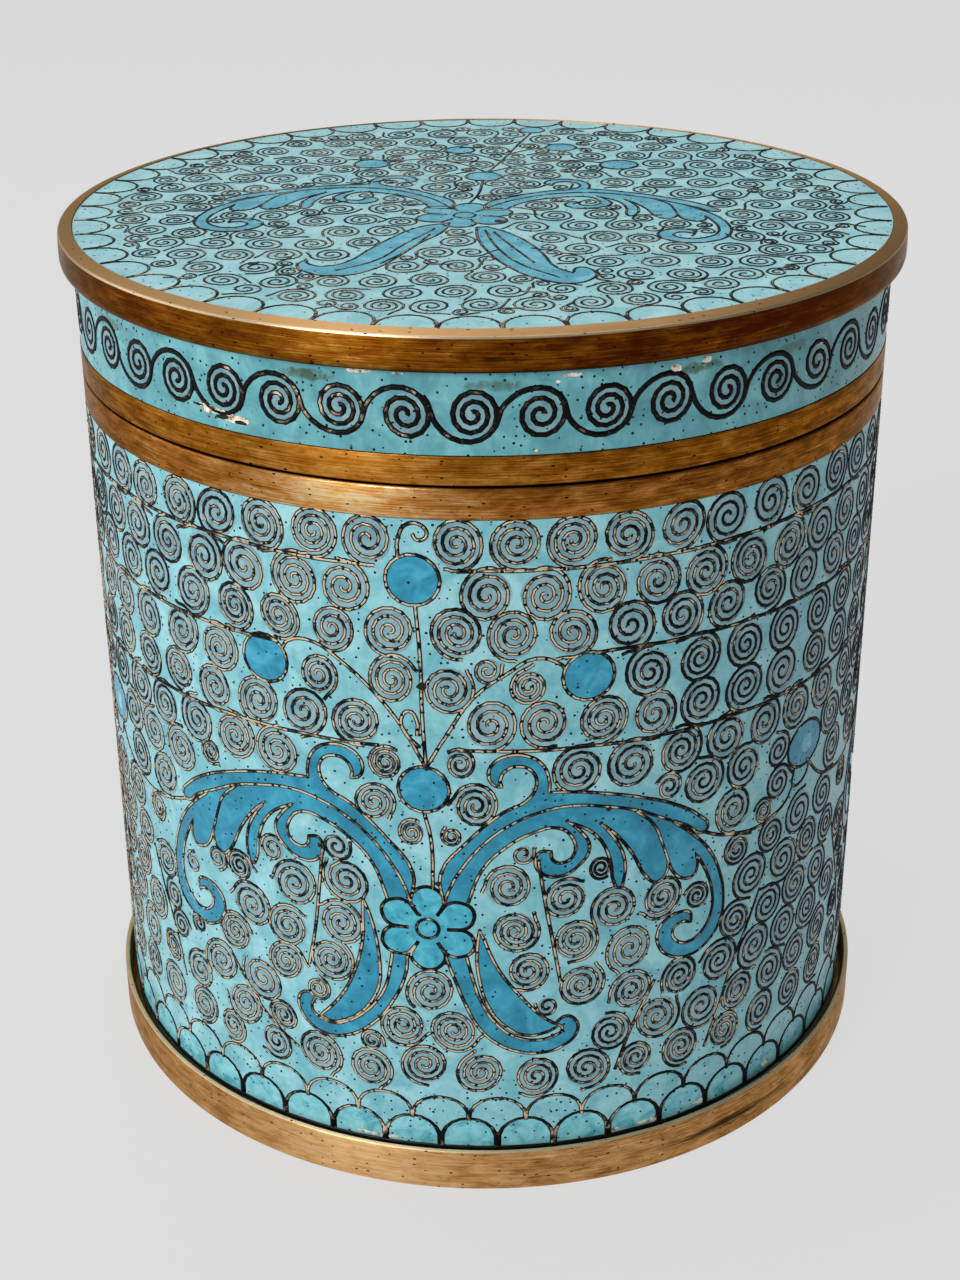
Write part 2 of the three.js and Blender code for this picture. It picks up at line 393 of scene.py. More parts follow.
def brassMaterial(kind):
    look = {**brassWork, **agedBrass[kind]}
    metal = {"Metallic": 1.0, "Anisotropic": 0.75, "Anisotropic Rotation": 0.25, "Specular Tint": "#E2D4C2"}
    material, tree, shader = newMaterial("aged_brass_" + kind, metal)
    surface = surfaceMillimetres(tree, False)
    stretched = {
        mark: addNode(tree, "Mapping", {"Vector": surface["place"], "Scale": (1 / length, 1 / height, 1)})
        for mark, (length, height) in look["marks"].items()
    }
    streaky = {"Vector": stretched["scratch"], "Scale": 1.0, "Detail": 5.0, "Roughness": 0.7}
    scratch = addNode(tree, "TexNoise", streaky, noise_dimensions="2D")
    patchy = {"Vector": stretched["blotch"], "Scale": 1.0, "Detail": 6.0, "Roughness": 0.7, "Distortion": 0.3}
    blotch = addNode(tree, "TexNoise", patchy, noise_dimensions="2D")
    # Painted highlight about a stretch left of the front, and painted shade towards the sides, raise and
    # lower the tone.
    paintedHighlight = look["paintedHighlight"]
    away = addNode(tree, "Math", [surface["arc"], paintedHighlight["arc"]], operation="SUBTRACT")
    away = addNode(tree, "Math", [away], operation="ABSOLUTE")
    highlightGain = addNode(tree, "MapRange", [away, paintedHighlight["core"], paintedHighlight["reach"], look["highlightGain"], 0.0])
    shades = [addNode(tree, "MapRange", [surface["x"], *span, 0.0, look["shade"]]) for span in look["sides"]]
    tone = addNode(tree, "Math", [scratch, 0.5], operation="MULTIPLY")
    tone = addNode(tree, "Math", [blotch, 0.5, tone], operation="MULTIPLY_ADD")
    for change in (highlightGain, *shades):
        tone = addNode(tree, "Math", [tone, change], operation="ADD")
    layers = []
    # Bands by height: wear on the rim's flat top, and painted highlights along the rim's and foot's top
    # edges.
    for low, high, wearAndGlintColour in look["wearAndGlint"]:
        wearAndGlint = addNode(tree, "MapRange", [surface["height"], low, high, 0.0, 0.85])
        layers.append((wearAndGlint, wearAndGlintColour))
    cells = addNode(tree, "TexVoronoi", {"Vector": stretched["nick"], "Scale": 1.0}, voronoi_dimensions="2D")
    pitSize = addNode(tree, "SeparateColor", [cells.outputs["Color"]])
    pitLimit = addNode(tree, "MapRange", [pitSize, 0.7, 1.0, 0.0, 0.15])
    layers.append((addNode(tree, "Math", [cells, pitLimit], operation="LESS_THAN"), look["pitColour"]))
    layers += [(raggedOval(tree, surface, mark, scratch), look["burnColour"]) for mark in look["burns"]]
    # Painted shade: black on the brass under the rim and inside the seam gap.
    for source, clean, dirty in look["grime"]:
        black = addNode(tree, "MapRange", [surface[source], clean, dirty, 0.0, 1.0])
        layers.append((black, look["paintedShadeColour"]))
    rough = addNode(tree, "MapRange", [blotch, 0.3, 0.7, 0.42, 0.3])
    if look["wearAndGlint"]:
        rough = addNode(tree, "Math", [wearAndGlint, 0.3, rough], operation="MULTIPLY_ADD")
    toned = addNode(tree, "ValToRGB", [tone], list(zip(look["toneStops"], look["tones"])))
    setInputs(tree, shader, {
        "Base Color": layOver(tree, toned, layers),
        "Roughness": rough,
        "Normal": addNode(tree, "Bump", {"Height": scratch, "Distance": 0.02 * mm, "Strength": 0.5}),
        "Tangent": addNode(tree, "Tangent", direction_type="RADIAL", axis="Z"),
    })
    return material


# Raised copper, hammered and left from the firing: dull, pinkish brown with soft dimples.
firedCopper = {"bright": "#B87A55", "dark": "#6B4230", "blotch": 9.0, "dimple": 7.0, "dimpleDepth": 0.25 * mm}


def copperMaterial():
    material, tree, shader = newMaterial("fired_copper", {"Metallic": 1.0})
    place = surfaceMillimetres(tree, True)["place"]
    patchy = {"Vector": place, "Scale": 1 / firedCopper["blotch"], "Detail": 5.0, "Roughness": 0.6}
    blotch = addNode(tree, "TexNoise", patchy)
    spaced = {"Vector": place, "Scale": 1 / firedCopper["dimple"]}
    dimples = addNode(tree, "TexVoronoi", spaced, feature="SMOOTH_F1")
    hammered = {"Height": dimples, "Distance": firedCopper["dimpleDepth"], "Strength": 0.5}
    tones = [(0.35, firedCopper["dark"]), (0.65, firedCopper["bright"])]
    setInputs(tree, shader, {
        "Base Color": addNode(tree, "ValToRGB", [blotch], tones),
        "Roughness": addNode(tree, "MapRange", [blotch, 0.3, 0.7, 0.6, 0.42]),
        "Normal": addNode(tree, "Bump", hammered),
    })
    return material


# Where a piece of enamel broke away: the chalky, pitted ground coat below it.
def chalkMaterial():
    material, tree, shader = newMaterial("bared_ground_coat", {"Metallic": 0.0, "Roughness": 0.75})
    place = surfaceMillimetres(tree, False)["place"]
    pitted = {"Vector": place, "Scale": 1 / 0.9, "Detail": 4.0, "Roughness": 0.7}
    speckle = addNode(tree, "TexNoise", pitted, noise_dimensions="2D")
    tones = [(0.36, "#5B4F43"), (0.46, "#C9B79B"), (0.6, "#E9E4D8")]
    setInputs(tree, shader, {"Base Color": addNode(tree, "ValToRGB", [speckle], tones)})
    return material


print("materials ready")


# Turned pieces

def finishMesh(name, work, material):
    mesh = bpy.data.meshes.new(name)
    work.to_mesh(mesh)
    work.free()
    mesh.polygons.foreach_set("use_smooth", [True] * len(mesh.polygons))
    mesh.set_sharp_from_angle(angle=math.radians(35))
    return finishPiece(name, mesh, material)


def finishPiece(name, mesh, material):
    mesh.materials.clear()
    mesh.materials.append(material)
    piece = bpy.data.objects.new(name, mesh)
    bpy.context.scene.collection.objects.link(piece)
    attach(piece, "root")
    return piece


turning = {"steps": 256, "copperSteps": 128, "roundSteps": 4}


def turnedPiece(name, node, slot, material, section):
    # The section goes round as (radius, height, corner rounding); corners are softened, then spun.
    work = bmesh.new()
    corners = [work.verts.new((radius * mm, 0, height * mm)) for radius, height, _ in section]
    work.faces.new(corners)
    rounds = [rounding for _, _, rounding in section]
    for rounding in sorted({r for r in rounds if r}):
        chosen = [corner for corner, r in zip(corners, rounds) if r == rounding]
        bmesh.ops.bevel(
            work, geom=chosen, offset=rounding * mm, affect="VERTICES",
            segments=turning["roundSteps"], profile=0.5, material=-1,
        )
    bmesh.ops.delete(work, geom=list(work.faces), context="FACES_ONLY")
    onAxis = [e for e in work.edges if all(abs(v.co.x) < 1e-7 for v in e.verts)]
    bmesh.ops.delete(work, geom=onAxis, context="EDGES")
    bmesh.ops.spin(
        work, geom=list(work.verts) + list(work.edges), cent=(0, 0, 0), axis=(0, 0, 1), angle=2 * math.pi,
        steps=turning["copperSteps" if slot == "copper" else "steps"], use_merge=True,
    )
    bmesh.ops.remove_doubles(work, verts=work.verts, dist=1e-6)
    bmesh.ops.dissolve_degenerate(work, edges=work.edges, dist=1e-7)
    bmesh.ops.recalc_face_normals(work, faces=work.faces)
    piece = finishMesh(name, work, material)
    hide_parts(node)


wall = {"sideEnamel": 1.1, "gap": 0.1, "copper": 1.2, "lip": 1.2, "plate": 1.2}
skinInner = jarSkin["radius"] - wall["sideEnamel"]
copperInner = jarCopper["radius"] - wall["copper"]
foot = {"hoop": 1.1, "flange": 1.2, "rise": 1.7, "reach": 6.0, "edge": 0.5, "bevel": 0.8}
neck = {"clearance": 0.4, "wall": 1.0, "mouth": lidBand["low"] - 0.3}
rim = {"topWidth": 2.1, "fall": 0.45, "bulge": 0.12}


def hoopSection(inner, span, high, rounding=0):
    # A plain hoop or disc up to a height; the rounding is that of its lower outer corner.
    radius, low = span["radius"], span["low"]
    return [(inner, low, 0), (radius, low, rounding), (radius, high, 0), (inner, high, 0)]


def turnedSections():
    # Name, solid, slot, material and section of each turned piece.
    copper = copperMaterial()
    hoopInner = footHoop["radius"] - foot["hoop"]
    flangeInner = jarCopper["radius"] - foot["reach"]
    flangeTop = foot["rise"] + foot["flange"]
    neckOuter = copperInner - neck["clearance"]
    neckInner = neckOuter - neck["wall"]
    mouthLip = neck["mouth"] - wall["lip"]
    lidLip = lidBand["low"] + wall["lip"]
    rimTop = lidRim["high"] - rim["fall"]
    rimFace = lidRim["radius"] - rim["bulge"]
    rimSeat = lidDisc["low"] - wall["gap"]
    flatInner = lidRim["radius"] - rim["topWidth"]
    vesselFloor = jarCopper["low"] + wall["copper"]
    plateLow = lidCopper["high"] - wall["plate"]
    return [
        ("jar_enamel_skin", "jar_enamel", "enamel", enamelMaterial("field"),
         hoopSection(skinInner, jarSkin, jarSkin["high"], 0.3)),
        ("lid_side_enamel_skin", "lid_side_enamel", "enamel", enamelMaterial("lidSide"),
         hoopSection(skinInner, lidSkin, lidSkin["high"])),
        ("lid_top_enamel_disc", "lid_top_enamel", "enamel", enamelMaterial("lidTop", flat=True),
         hoopSection(0, lidDisc, lidTopLevel)),
        ("foot_ring_hoop", "foot_ring", "brass", brassMaterial("foot"),
         [(hoopInner, 0, 0.15), (footHoop["radius"], 0, 0.3), (footHoop["radius"], footHoop["high"], 0.25),
          (hoopInner + foot["edge"], footHoop["high"], 0.1),
          (hoopInner, footHoop["high"] - foot["bevel"], 0),
          (hoopInner, flangeTop, 0), (flangeInner, flangeTop, 0),
          (flangeInner, foot["rise"], 0.15), (hoopInner, foot["rise"], 0)]),
        ("mouth_rim_band", "mouth_rim", "brass", brassMaterial("mouthBand"),
         [(skinInner, mouthBand["low"], 0), (mouthBand["radius"], mouthBand["low"], 0.08),
          (mouthBand["radius"], neck["mouth"], 0.3), (neckOuter, neck["mouth"], 0),
          (neckOuter, mouthBand["high"], 0.3), (neckInner, mouthBand["high"], 0.3),
          (neckInner, mouthLip, 0), (skinInner, mouthLip, 0)]),
        ("lid_band", "lid_lower_band", "brass", brassMaterial("lidBand"),
         [(copperInner, lidBand["low"], 0.2), (lidBand["radius"], lidBand["low"], 0.3),
          (lidBand["radius"], lidBand["high"], 0.08), (skinInner, lidBand["high"], 0),
          (skinInner, lidLip, 0), (copperInner, lidLip, 0)]),
        ("lid_rim", "lid_top_rim", "brass", brassMaterial("rim"),
         [(skinInner, lidRim["low"], 0), (rimFace, lidRim["low"], 1.5),
          (lidRim["radius"], (lidRim["low"] + rimTop) / 2, 2.0), (rimFace, rimTop, 0.35),
          (flatInner, lidRim["high"], 0.1), (flatInner, rimSeat, 0), (skinInner, rimSeat, 0)]),
        ("jar_vessel", "jar_copper_vessel", "copper", copper,
         [(0, jarCopper["low"], 0), (jarCopper["radius"], jarCopper["low"], 0.6),
          (jarCopper["radius"], jarCopper["high"], 0), (copperInner, jarCopper["high"], 0),
          (copperInner, vesselFloor, 1.0), (0, vesselFloor, 0)]),
        ("lid_shell", "lid_copper_shell", "copper", copper,
         [(0, plateLow, 0), (copperInner, plateLow, 1.0), (copperInner, lidCopper["low"], 0),
          (lidCopper["radius"], lidCopper["low"], 0), (lidCopper["radius"], lidCopper["high"], 0.3),
          (0, lidCopper["high"], 0)]),
    ]


for turned in turnedSections():
    turnedPiece(*turned)
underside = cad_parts["underside_enamel"]
underside.data.materials.clear()
underside.data.materials.append(enamelMaterial("plain", flat=True))
print("turned pieces made")


# Wires and enamel cells are laid out flat in mm, as (arc length, height) for the jar's and the
# lid's side or as (x, y) for the lid's top, made a mesh, and then put on their surface.

def stroke(points, closed=False, smooth=True, widths=None):
    return {"points": points, "closed": closed, "smooth": smooth, "widths": widths}


def shifted(item, at, scale=1.0, turn=0.0, mirror=False):
    flip = -1 if mirror else 1
    c = math.cos(math.radians(turn)) * scale
    s = math.sin(math.radians(turn)) * scale
    moved = [
        (at[0] + c * x * flip - s * y, at[1] + s * x * flip + c * y, *mark) for x, y, *mark in item["points"]
    ]
    return {**item, "points": moved}


def circleStroke(centre, radius, stretch=1.0, count=18):
    steps = [2 * math.pi * i / count for i in range(count)]
    points = [(centre[0] + radius * stretch * math.cos(a), centre[1] + radius * math.sin(a)) for a in steps]
    return stroke(points, True, False)


spiralForm = {
    "flareOut": 0.06, "heart": 0.32, "stepsPerTurn": 13, "leastSteps": 9, "upright": 0.045,
    "tailLift": 0.18, "windsFaster": 1.3, "closesFaster": 1.12,
}


def spiralStroke(spot, ring, turns, outerAngle, handed, tail, rng, flare=0.0):
    # A coil whose outermost ring is centred on the spot, wound inwards from the outer angle. Its tail
    # leaves along the tangent, or flares out towards the neighbour from which the wire comes.
    outer = ring * (1 + spiralForm["flareOut"])
    out = (math.cos(outerAngle), math.sin(outerAngle))
    centre = [spot[i] - out[i] * (outer - ring) for i in (0, 1)]
    count = max(spiralForm["leastSteps"], round(turns * spiralForm["stepsPerTurn"]))
    oval, tilt = rng.uniform(0.4, 1.6) * spiralForm["upright"], math.pi / 2 + rng.uniform(-0.7, 0.7)
    points = []
    if tail:
        back = (handed * out[1], -handed * out[0])
        for share in (1.0, 0.5):
            lift = outer + tail * spiralForm["tailLift"] * share * share
            points.append(tuple(centre[i] + out[i] * lift + back[i] * tail * share for i in (0, 1)))
    for step in range(count + 1):
        wound = (step / count) ** spiralForm["windsFaster"]
        angle = outerAngle + handed * 2 * math.pi * turns * wound
        reach = outer - (outer - spiralForm["heart"]) * wound ** spiralForm["closesFaster"]
        reach += flare * max(0.0, 1 - 4 * turns * wound) ** 2
        reach *= 1 + oval * math.cos(2 * (angle - tilt))
        points.append((centre[0] + reach * math.cos(angle), centre[1] + reach * math.sin(angle)))
    return stroke(points, smooth=False)


beadForm = {"every": 3.0, "half": (0.1, 0.24), "width": 1.35}


def beadStrokes(strokes, rng):
    # Short fat lengths of fire scale that sit on the wires here and there.
    beads = []
    for item in strokes:
        sinceLast = rng.uniform(0, beadForm["every"])
        for start, end in zip(item["points"], item["points"][1:]):
            length = math.dist(start[:2], end[:2])
            sinceLast += length
            if sinceLast < beadForm["every"] or length < 0.05:
                continue
            sinceLast = rng.uniform(-0.6, 0.5) * beadForm["every"]
            half = rng.uniform(*beadForm["half"]) / length
            middle = 0.02 if item["smooth"] else rng.uniform(0.2, 0.8)
            shares = (middle - half, middle, middle + half)
            ends = [tuple(start[i] + (end[i] - start[i]) * share for i in (0, 1)) for share in shares]
            wide = beadForm["width"] * rng.uniform(0.85, 1.25)
            beads.append(stroke(ends, smooth=False, widths=[0.6 * wide, wide, 0.6 * wide]))
    return beads


def blotStroke(centre, width, height, rng, count=9):
    # An irregular closed outline, for a chip or a pool of fire scale.
    reaches = [rng.uniform(0.62, 1.1) for _ in range(count)]
    return stroke([
        (centre[0] + width / 2 * reach * math.cos(2 * math.pi * i / count),
         centre[1] + height / 2 * reach * math.sin(2 * math.pi * i / count))
        for i, reach in enumerate(reaches)
    ], True)


curveSteps = 4  # straight steps between two points of a smooth stroke


def fillCurve(curve, strokes):
    for item in strokes:
        points = item["points"]
        spline = curve.splines.new("BEZIER" if item["smooth"] else "POLY")
        if item["smooth"]:
            spline.bezier_points.add(len(points) - 1)
            knots = spline.bezier_points
            for knot, point in zip(knots, points):
                knot.co = (point[0], point[1], 0)
                knot.handle_left_type = "VECTOR" if len(point) > 2 else "AUTO"
                knot.handle_right_type = knot.handle_left_type
        else:
            spline.points.add(len(points) - 1)
            knots = spline.points
            for knot, point in zip(knots, points):
                knot.co = (point[0], point[1], 0, 1)
        for knot, width in zip(knots, item["widths"] or []):
            knot.radius = width
        spline.use_cyclic_u = item["closed"]


def curveToMesh(name, curve):
    holder = bpy.data.objects.new(name + "_layout", curve)
    bpy.context.scene.collection.objects.link(holder)
    bpy.context.view_layer.update()
    mesh = bpy.data.meshes.new_from_object(holder.evaluated_get(bpy.context.evaluated_depsgraph_get()))
    bpy.data.objects.remove(holder)
    bpy.data.curves.remove(curve)
    return mesh


def wireSection(widthScale=1.0):
    # A low triangle whose base is sunk in the enamel, so that only its crown shows.
    curve = bpy.data.curves.new("wire_section", "CURVE")
    curve.dimensions = "2D"
    spline = curve.splines.new("POLY")
    spline.points.add(2)
    half = wireLook["halfWidth"] * widthScale
    corners = [(-half, -wireLook["sunk"]), (half, -wireLook["sunk"]), (0, wireLook["crown"])]
    for knot, corner in zip(spline.points, corners):
        knot.co = (corner[0], corner[1], 0, 1)
    spline.use_cyclic_u = True
    section = bpy.data.objects.new("wire_section", curve)
    bpy.context.scene.collection.objects.link(section)
    return section


def wiresMesh(name, strokes, widthScale=1.0):
    section = wireSection(widthScale)
    curve = bpy.data.curves.new(name, "CURVE")
    curve.dimensions = "3D"
    curve.twist_mode = "Z_UP"
    curve.resolution_u = curveSteps
    curve.bevel_mode = "OBJECT"
    curve.bevel_object = section
    curve.use_fill_caps = True
    fillCurve(curve, strokes)
    mesh = curveToMesh(name, curve)
    bpy.data.objects.remove(section)
    return mesh


def cellsMesh(name, outlines, rise, cutEvery=0.0):
    # Flat plates sunk a little in the enamel; cut in strips so that they follow the jar's curve.
    curve = bpy.data.curves.new(name, "CURVE")
    curve.dimensions = "2D"
    curve.fill_mode = "BOTH"
    curve.resolution_u = curveSteps
    curve.extrude = (rise + wireLook["sunk"]) / 2
    fillCurve(curve, outlines)
    mesh = curveToMesh(name, curve)
    work = bmesh.new()
    work.from_mesh(mesh)
    bmesh.ops.remove_doubles(work, verts=work.verts, dist=1e-3)
    bmesh.ops.translate(work, verts=work.verts, vec=(0, 0, (rise - wireLook["sunk"]) / 2))
    if cutEvery:
        low = min(v.co.x for v in work.verts)
        high = max(v.co.x for v in work.verts)
        for index in range(1, int((high - low) / cutEvery) + 1):
            everything = list(work.verts) + list(work.edges) + list(work.faces)
            across = (low + index * cutEvery, 0, 0)
            bmesh.ops.bisect_plane(work, geom=everything, plane_co=across, plane_no=(1, 0, 0), dist=1e-5)
    bmesh.ops.recalc_face_normals(work, faces=work.faces)
    work.to_mesh(mesh)
    work.free()
    return mesh


def discsMesh(name, discs, rise, sides=14):
    # Thin round plates, each a fan inside a ring, so that they follow the jar's curve.
    turns = [2 * math.pi * index / sides for index in range(sides)]
    work = bmesh.new()
    for (x, y), radius in discs:
        middle = work.verts.new((x, y, rise))
        inner, outer, base = (
            [work.verts.new((x + reach * math.cos(a), y + reach * math.sin(a), height)) for a in turns]
            for reach, height in ((radius / 2, rise), (radius, rise), (radius, -wireLook["sunk"]))
        )
        for index in range(sides):
            after = (index + 1) % sides
            work.faces.new((middle, inner[index], inner[after]))
            work.faces.new((inner[index], outer[index], outer[after], inner[after]))
            work.faces.new((outer[index], base[index], base[after], outer[after]))
        work.faces.new(base[::-1])
    mesh = bpy.data.meshes.new(name)
    work.to_mesh(mesh)
    work.free()
    return mesh


def layRound(mesh, radius):
    count = len(mesh.vertices)
    flat = np.empty(count * 3)
    mesh.vertices.foreach_get("co", flat)
    flat = flat.reshape(-1, 3)
    angle = flat[:, 0] / radius
    reach = radius + flat[:, 2]
    laid = np.column_stack([reach * np.sin(angle), -reach * np.cos(angle), flat[:, 1]]) * mm
    mesh.vertices.foreach_set("co", laid.ravel())
    mesh.update()


def layFlat(mesh, height):
    mesh.transform(Matrix.Scale(mm, 4) @ Matrix.Translation((0, 0, height)))
    mesh.update()


# How far each kind of cell, disc, chip and pool stands out of the enamel, and how wide its strips are.
rises = {
    "scroll": 0.012, "leaf": 0.015, "petal": 0.02, "heart": 0.024, "chip": 0.05, "pit": 0.06, "pool": 0.13,
    "topScroll": 0.01, "topPetal": 0.016, "topHeart": 0.02, "topPool": 0.12,
}
strip = 1.5
heartSides = 24


def addOnJar(name, makeMesh, items, material, slot="enamel", **form):
    mesh = makeMesh(name, items, **form)
    layRound(mesh, jarSkin["radius"])
    finishPiece(name, mesh, material)


def addOnTop(name, makeMesh, items, material, slot="enamel", **form):
    mesh = makeMesh(name, items, **form)
    layFlat(mesh, lidTopLevel)
    finishPiece(name, mesh, material)


# The motif: a flower between two winged leaves, with two more leaves below and buds on stems above.
# Points are mm from the flower's centre; a third entry marks a sharp tip.
tip = "tip"
wing = {
    "outline": [
        (2.3, 4.1, tip), (1.9, 8.8), (5.6, 14), (10.3, 18.4), (13.4, 20.1), (14.7, 22.3), (14.2, 24.4),
        (12.5, 25.3), (10.8, 24.9), (9.9, 23.3), (10.1, 22.3, tip), (9, 22.7), (8.4, 24.2), (9.0, 25.8),
        (10.8, 26.9), (13.4, 26.8), (15.5, 25.3), (16.4, 22.7), (16.4, 21.2, tip), (22, 20.5), (30.7, 17.9),
        (35, 15.8), (38.5, 13.2), (40, 11.2), (39.4, 10.4), (36.5, 12.3), (33.7, 13.9, tip), (38, 10.1),
        (40.6, 6.9), (42.5, 2.8), (43.4, -1.4), (42.9, -5.3), (40.7, -8.1), (37.6, -9.2), (34.7, -8.4),
        (32.8, -6.4), (32.4, -3.8), (33.6, -2.1), (35.7, -1.5), (37.6, -2.1), (37.8, -3.7, tip),
        (36.2, -3.2),
        (34.8, -4.2), (35.5, -6.1), (37.6, -6.9), (40, -5.6), (41.4, -2.6), (41.2, 0.6), (40.1, 3.8),
        (38.1, 7.5, tip), (38.5, 5.6), (37.8, 3.9), (36.1, 4.0), (34.6, 5.4), (33.7, 7.4, tip), (33.3, 5.4),
        (32, 4.5), (30.6, 5.5), (28.1, 10.1), (25.9, 13.2), (23.5, 15.6, tip), (25.8, 12.4), (27, 9.3),
        (27, 6.2), (26.4, 4.9), (25.6, 5.9), (25.0, 9.5), (22.9, 13.8), (18.8, 16.6, tip), (20.8, 14.6),
        (22, 12.0), (20.5, 9.4), (17.7, 8), (15.3, 8.9), (14.6, 10.7), (15.3, 12.1), (16.7, 12.0, tip),
        (17.0, 10.6), (18.4, 10.1), (19.9, 11.3), (19.7, 13.7), (17.7, 15.6), (14.2, 15.1), (10.8, 13.2),
        (7.5, 9.7), (5.5, 4.3, tip),
    ],
    "veins": [
        [(2.3, 4.1), (3.1, 6.6), (4.7, 9.7), (7.3, 13.2), (10.8, 16.2), (15.1, 18.2), (19.4, 18.8),
         (24.6, 17.9),
         (28.6, 16.6), (33.7, 13.9)],
        [(28.4, 16.6), (31.2, 13.9), (32.7, 10.4), (33.7, 7.4)],
    ],
}
lowerLeaves = {
    "rightStem": [
        (2.4, -4.3, tip), (3.7, -8.3), (5.2, -12.5), (6.9, -16.1), (9.5, -18.8), (12.5, -20.3),
        (15.6, -20.7),
        (18.6, -19.9), (20.7, -17.7), (20.3, -15.6), (19.0, -14.9), (17.6, -15.9, tip), (18.6, -17),
        (17.2, -18.1),
        (14.8, -18.5), (11.9, -17.7), (9.2, -15.3), (7.2, -11.7), (6.0, -7.6), (5.3, -4.4, tip),
    ],
    "rightBlade": [
        (7.1, 0.1, tip), (6.7, -3.4), (7.1, -8.6), (8.4, -12.9), (10.6, -15.9), (13.2, -17.5),
        (16.2, -17.3),
        (18.0, -16.4, tip), (15.5, -14.4), (12.6, -10.9), (9.6, -6.4),
    ],
    "leftStem": [
        (-2.9, -4.6, tip), (-3.2, -7.5), (-4.9, -12.0), (-8.5, -17.1), (-13.1, -20.0), (-15.6, -20.2),
        (-17.8, -19.3), (-19.4, -17.2), (-19.6, -15.4), (-18.9, -14.2), (-17.8, -13.9), (-16.9, -14.6, tip),
        (-17.5, -15.8), (-17.3, -17.0), (-16.5, -17.6, tip), (-14.3, -18.1), (-11.8, -17.1), (-9.4, -15.2),
        (-7.2, -12.4), (-6.0, -9.8), (-5.3, -6.4), (-5.0, -4.4, tip),
    ],
    "leftBlade": [
        (-9.0, 3.6, tip), (-9.1, 1.0), (-9.1, -1.6), (-9.6, -4.9), (-10.6, -8.4), (-12.2, -12.1),
        (-14.1, -14.9),
        (-16.2, -17.3, tip), (-14.3, -17.8), (-11.9, -16.8), (-9.7, -15.0), (-8.0, -12.5), (-7.0, -9.7),
        (-6.9, -6.4), (-7.1, -3.8), (-7.5, -1.3), (-8.1, 1.2),
    ],
}
flower = {"petals": 6, "reach": 6.4, "halfWidth": 2.15, "notch": 2.4, "stretch": (1.1, 1.04), "eye": 1.55}
buds = {"middle": (-0.2, 21.7, 3.4), "top": (-1.1, 51.8, 3.5), "left": (-22.2, 37.7, 3.45),
        "right": (21.5, 37.8, 3.45), "side": (59.8, 16.9, 3.5, 1.25)}
stems = [
    [(0.2, 25.0), (-0.2, 33), (-0.3, 41), (-0.8, 48.3)],
    [(0.2, 25.0), (-3, 31), (-6.5, 35.5), (-11, 39.5), (-15, 41.6), (-18.5, 41), (-19.4, 39.7)],
    [(0.2, 25.0), (3, 30), (6.5, 35.5), (11, 39), (14.5, 40.9), (17.8, 39.8), (18.3, 39.2)],
    [(-0.2, 18.3), (0.7, 14), (0.8, 6.4)],
    [(-0.6, 28.0), (-2.6, 30.2), (-2.9, 32.2), (-1.9, 33.2), (-0.9, 31.9), (-0.9, 29.6)],
    [(-2.9, 54.6), (-2.8, 57.5), (-1.6, 59.4), (0.3, 59.2), (0.8, 57.9), (-0.4, 57.3), (-1.0, 58.1)],
    [(57.3, 13.8), (57.1, 11.2), (60.2, 11.4), (61.4, 13.7)],
]
tendrils = [
    [(-14.7, 10.8), (-15.6, 3), (-16.4, -3), (-17.6, -9)],
    [(15.0, 10.9), (16.0, 4), (17.2, -3), (18.2, -9.2)],
    [(32.2, -11.6), (29, -18.2), (26.4, -25.5)],
    [(50.7, -3), (48, -9), (45.7, -13.6), (43.8, -19.4), (41.1, -26.3)],
    [(-32, -11.4), (-29.6, -14.8), (-25, -20.5), (-20, -24)],
    [(-50, -2), (-47.4, -8.5), (-44.6, -15), (-43, -21.5)],
]
tipLines = [
    [(39.4, 10.4), (42.2, 9), (45.2, 8.2), (48.7, 7.6), (52.1, 8), (55.5, 9.2), (57.1, 11.2)],
    [(-39.4, 10.4), (-43.2, 8.9), (-47.4, 7.9), (-52.1, 8.4), (-56.5, 9.8), (-61.0, 14.1)],
]


def petalOutline(index):
    # A lobe between two notches; its base is a side of the flower's hexagonal heart. A hair's breadth
    # keeps it clear of its neighbours, so that each fills by itself.
    reach, half, notch = flower["reach"], flower["halfWidth"], flower["notch"]
    step = math.pi / flower["petals"]
    foot = (notch * math.cos(step), notch * math.sin(step) - 0.04)
    side = [(foot[0] + 0.9, foot[1] + 0.5), (4.3, half), (5.7, half * 0.7)]
    shape = [(foot[0], -foot[1], tip), *((x, -y) for x, y in side), (reach, 0), *side[::-1], (*foot, tip)]
    turned = shifted(stroke(shape), (0, 0), turn=90 + 360 / flower["petals"] * index)
    wide, tall = flower["stretch"]
    return {**turned, "points": [(p[0] * wide, p[1] * tall, *p[2:]) for p in turned["points"]]}


def flowerStrokes():
    return [petalOutline(index) for index in range(flower["petals"])]


def jarMotif():
    leaf = {name: stroke(points, name.endswith("Blade")) for name, points in lowerLeaves.items()}
    sides = (False, True)
    wings = [shifted(stroke(wing["outline"]), (0, 0), mirror=side) for side in sides]
    return {
        "leaves": wings + [leaf["rightStem"], leaf["leftStem"]],
        "blades": [leaf["rightBlade"], leaf["leftBlade"]],
        "veins": [shifted(stroke(points), (0, 0), mirror=side) for points in wing["veins"] for side in sides],
        "petals": flowerStrokes(),
        "buds": [circleStroke(bud[:2], *bud[2:]) for bud in buds.values()],
        "wires": [stroke(points) for points in stems + tendrils + tipLines],
    }


def asCells(strokes):
    return [{**item, "closed": True} for item in strokes]


# Spirals

gridStep = 0.4
sampleStep = 0.7


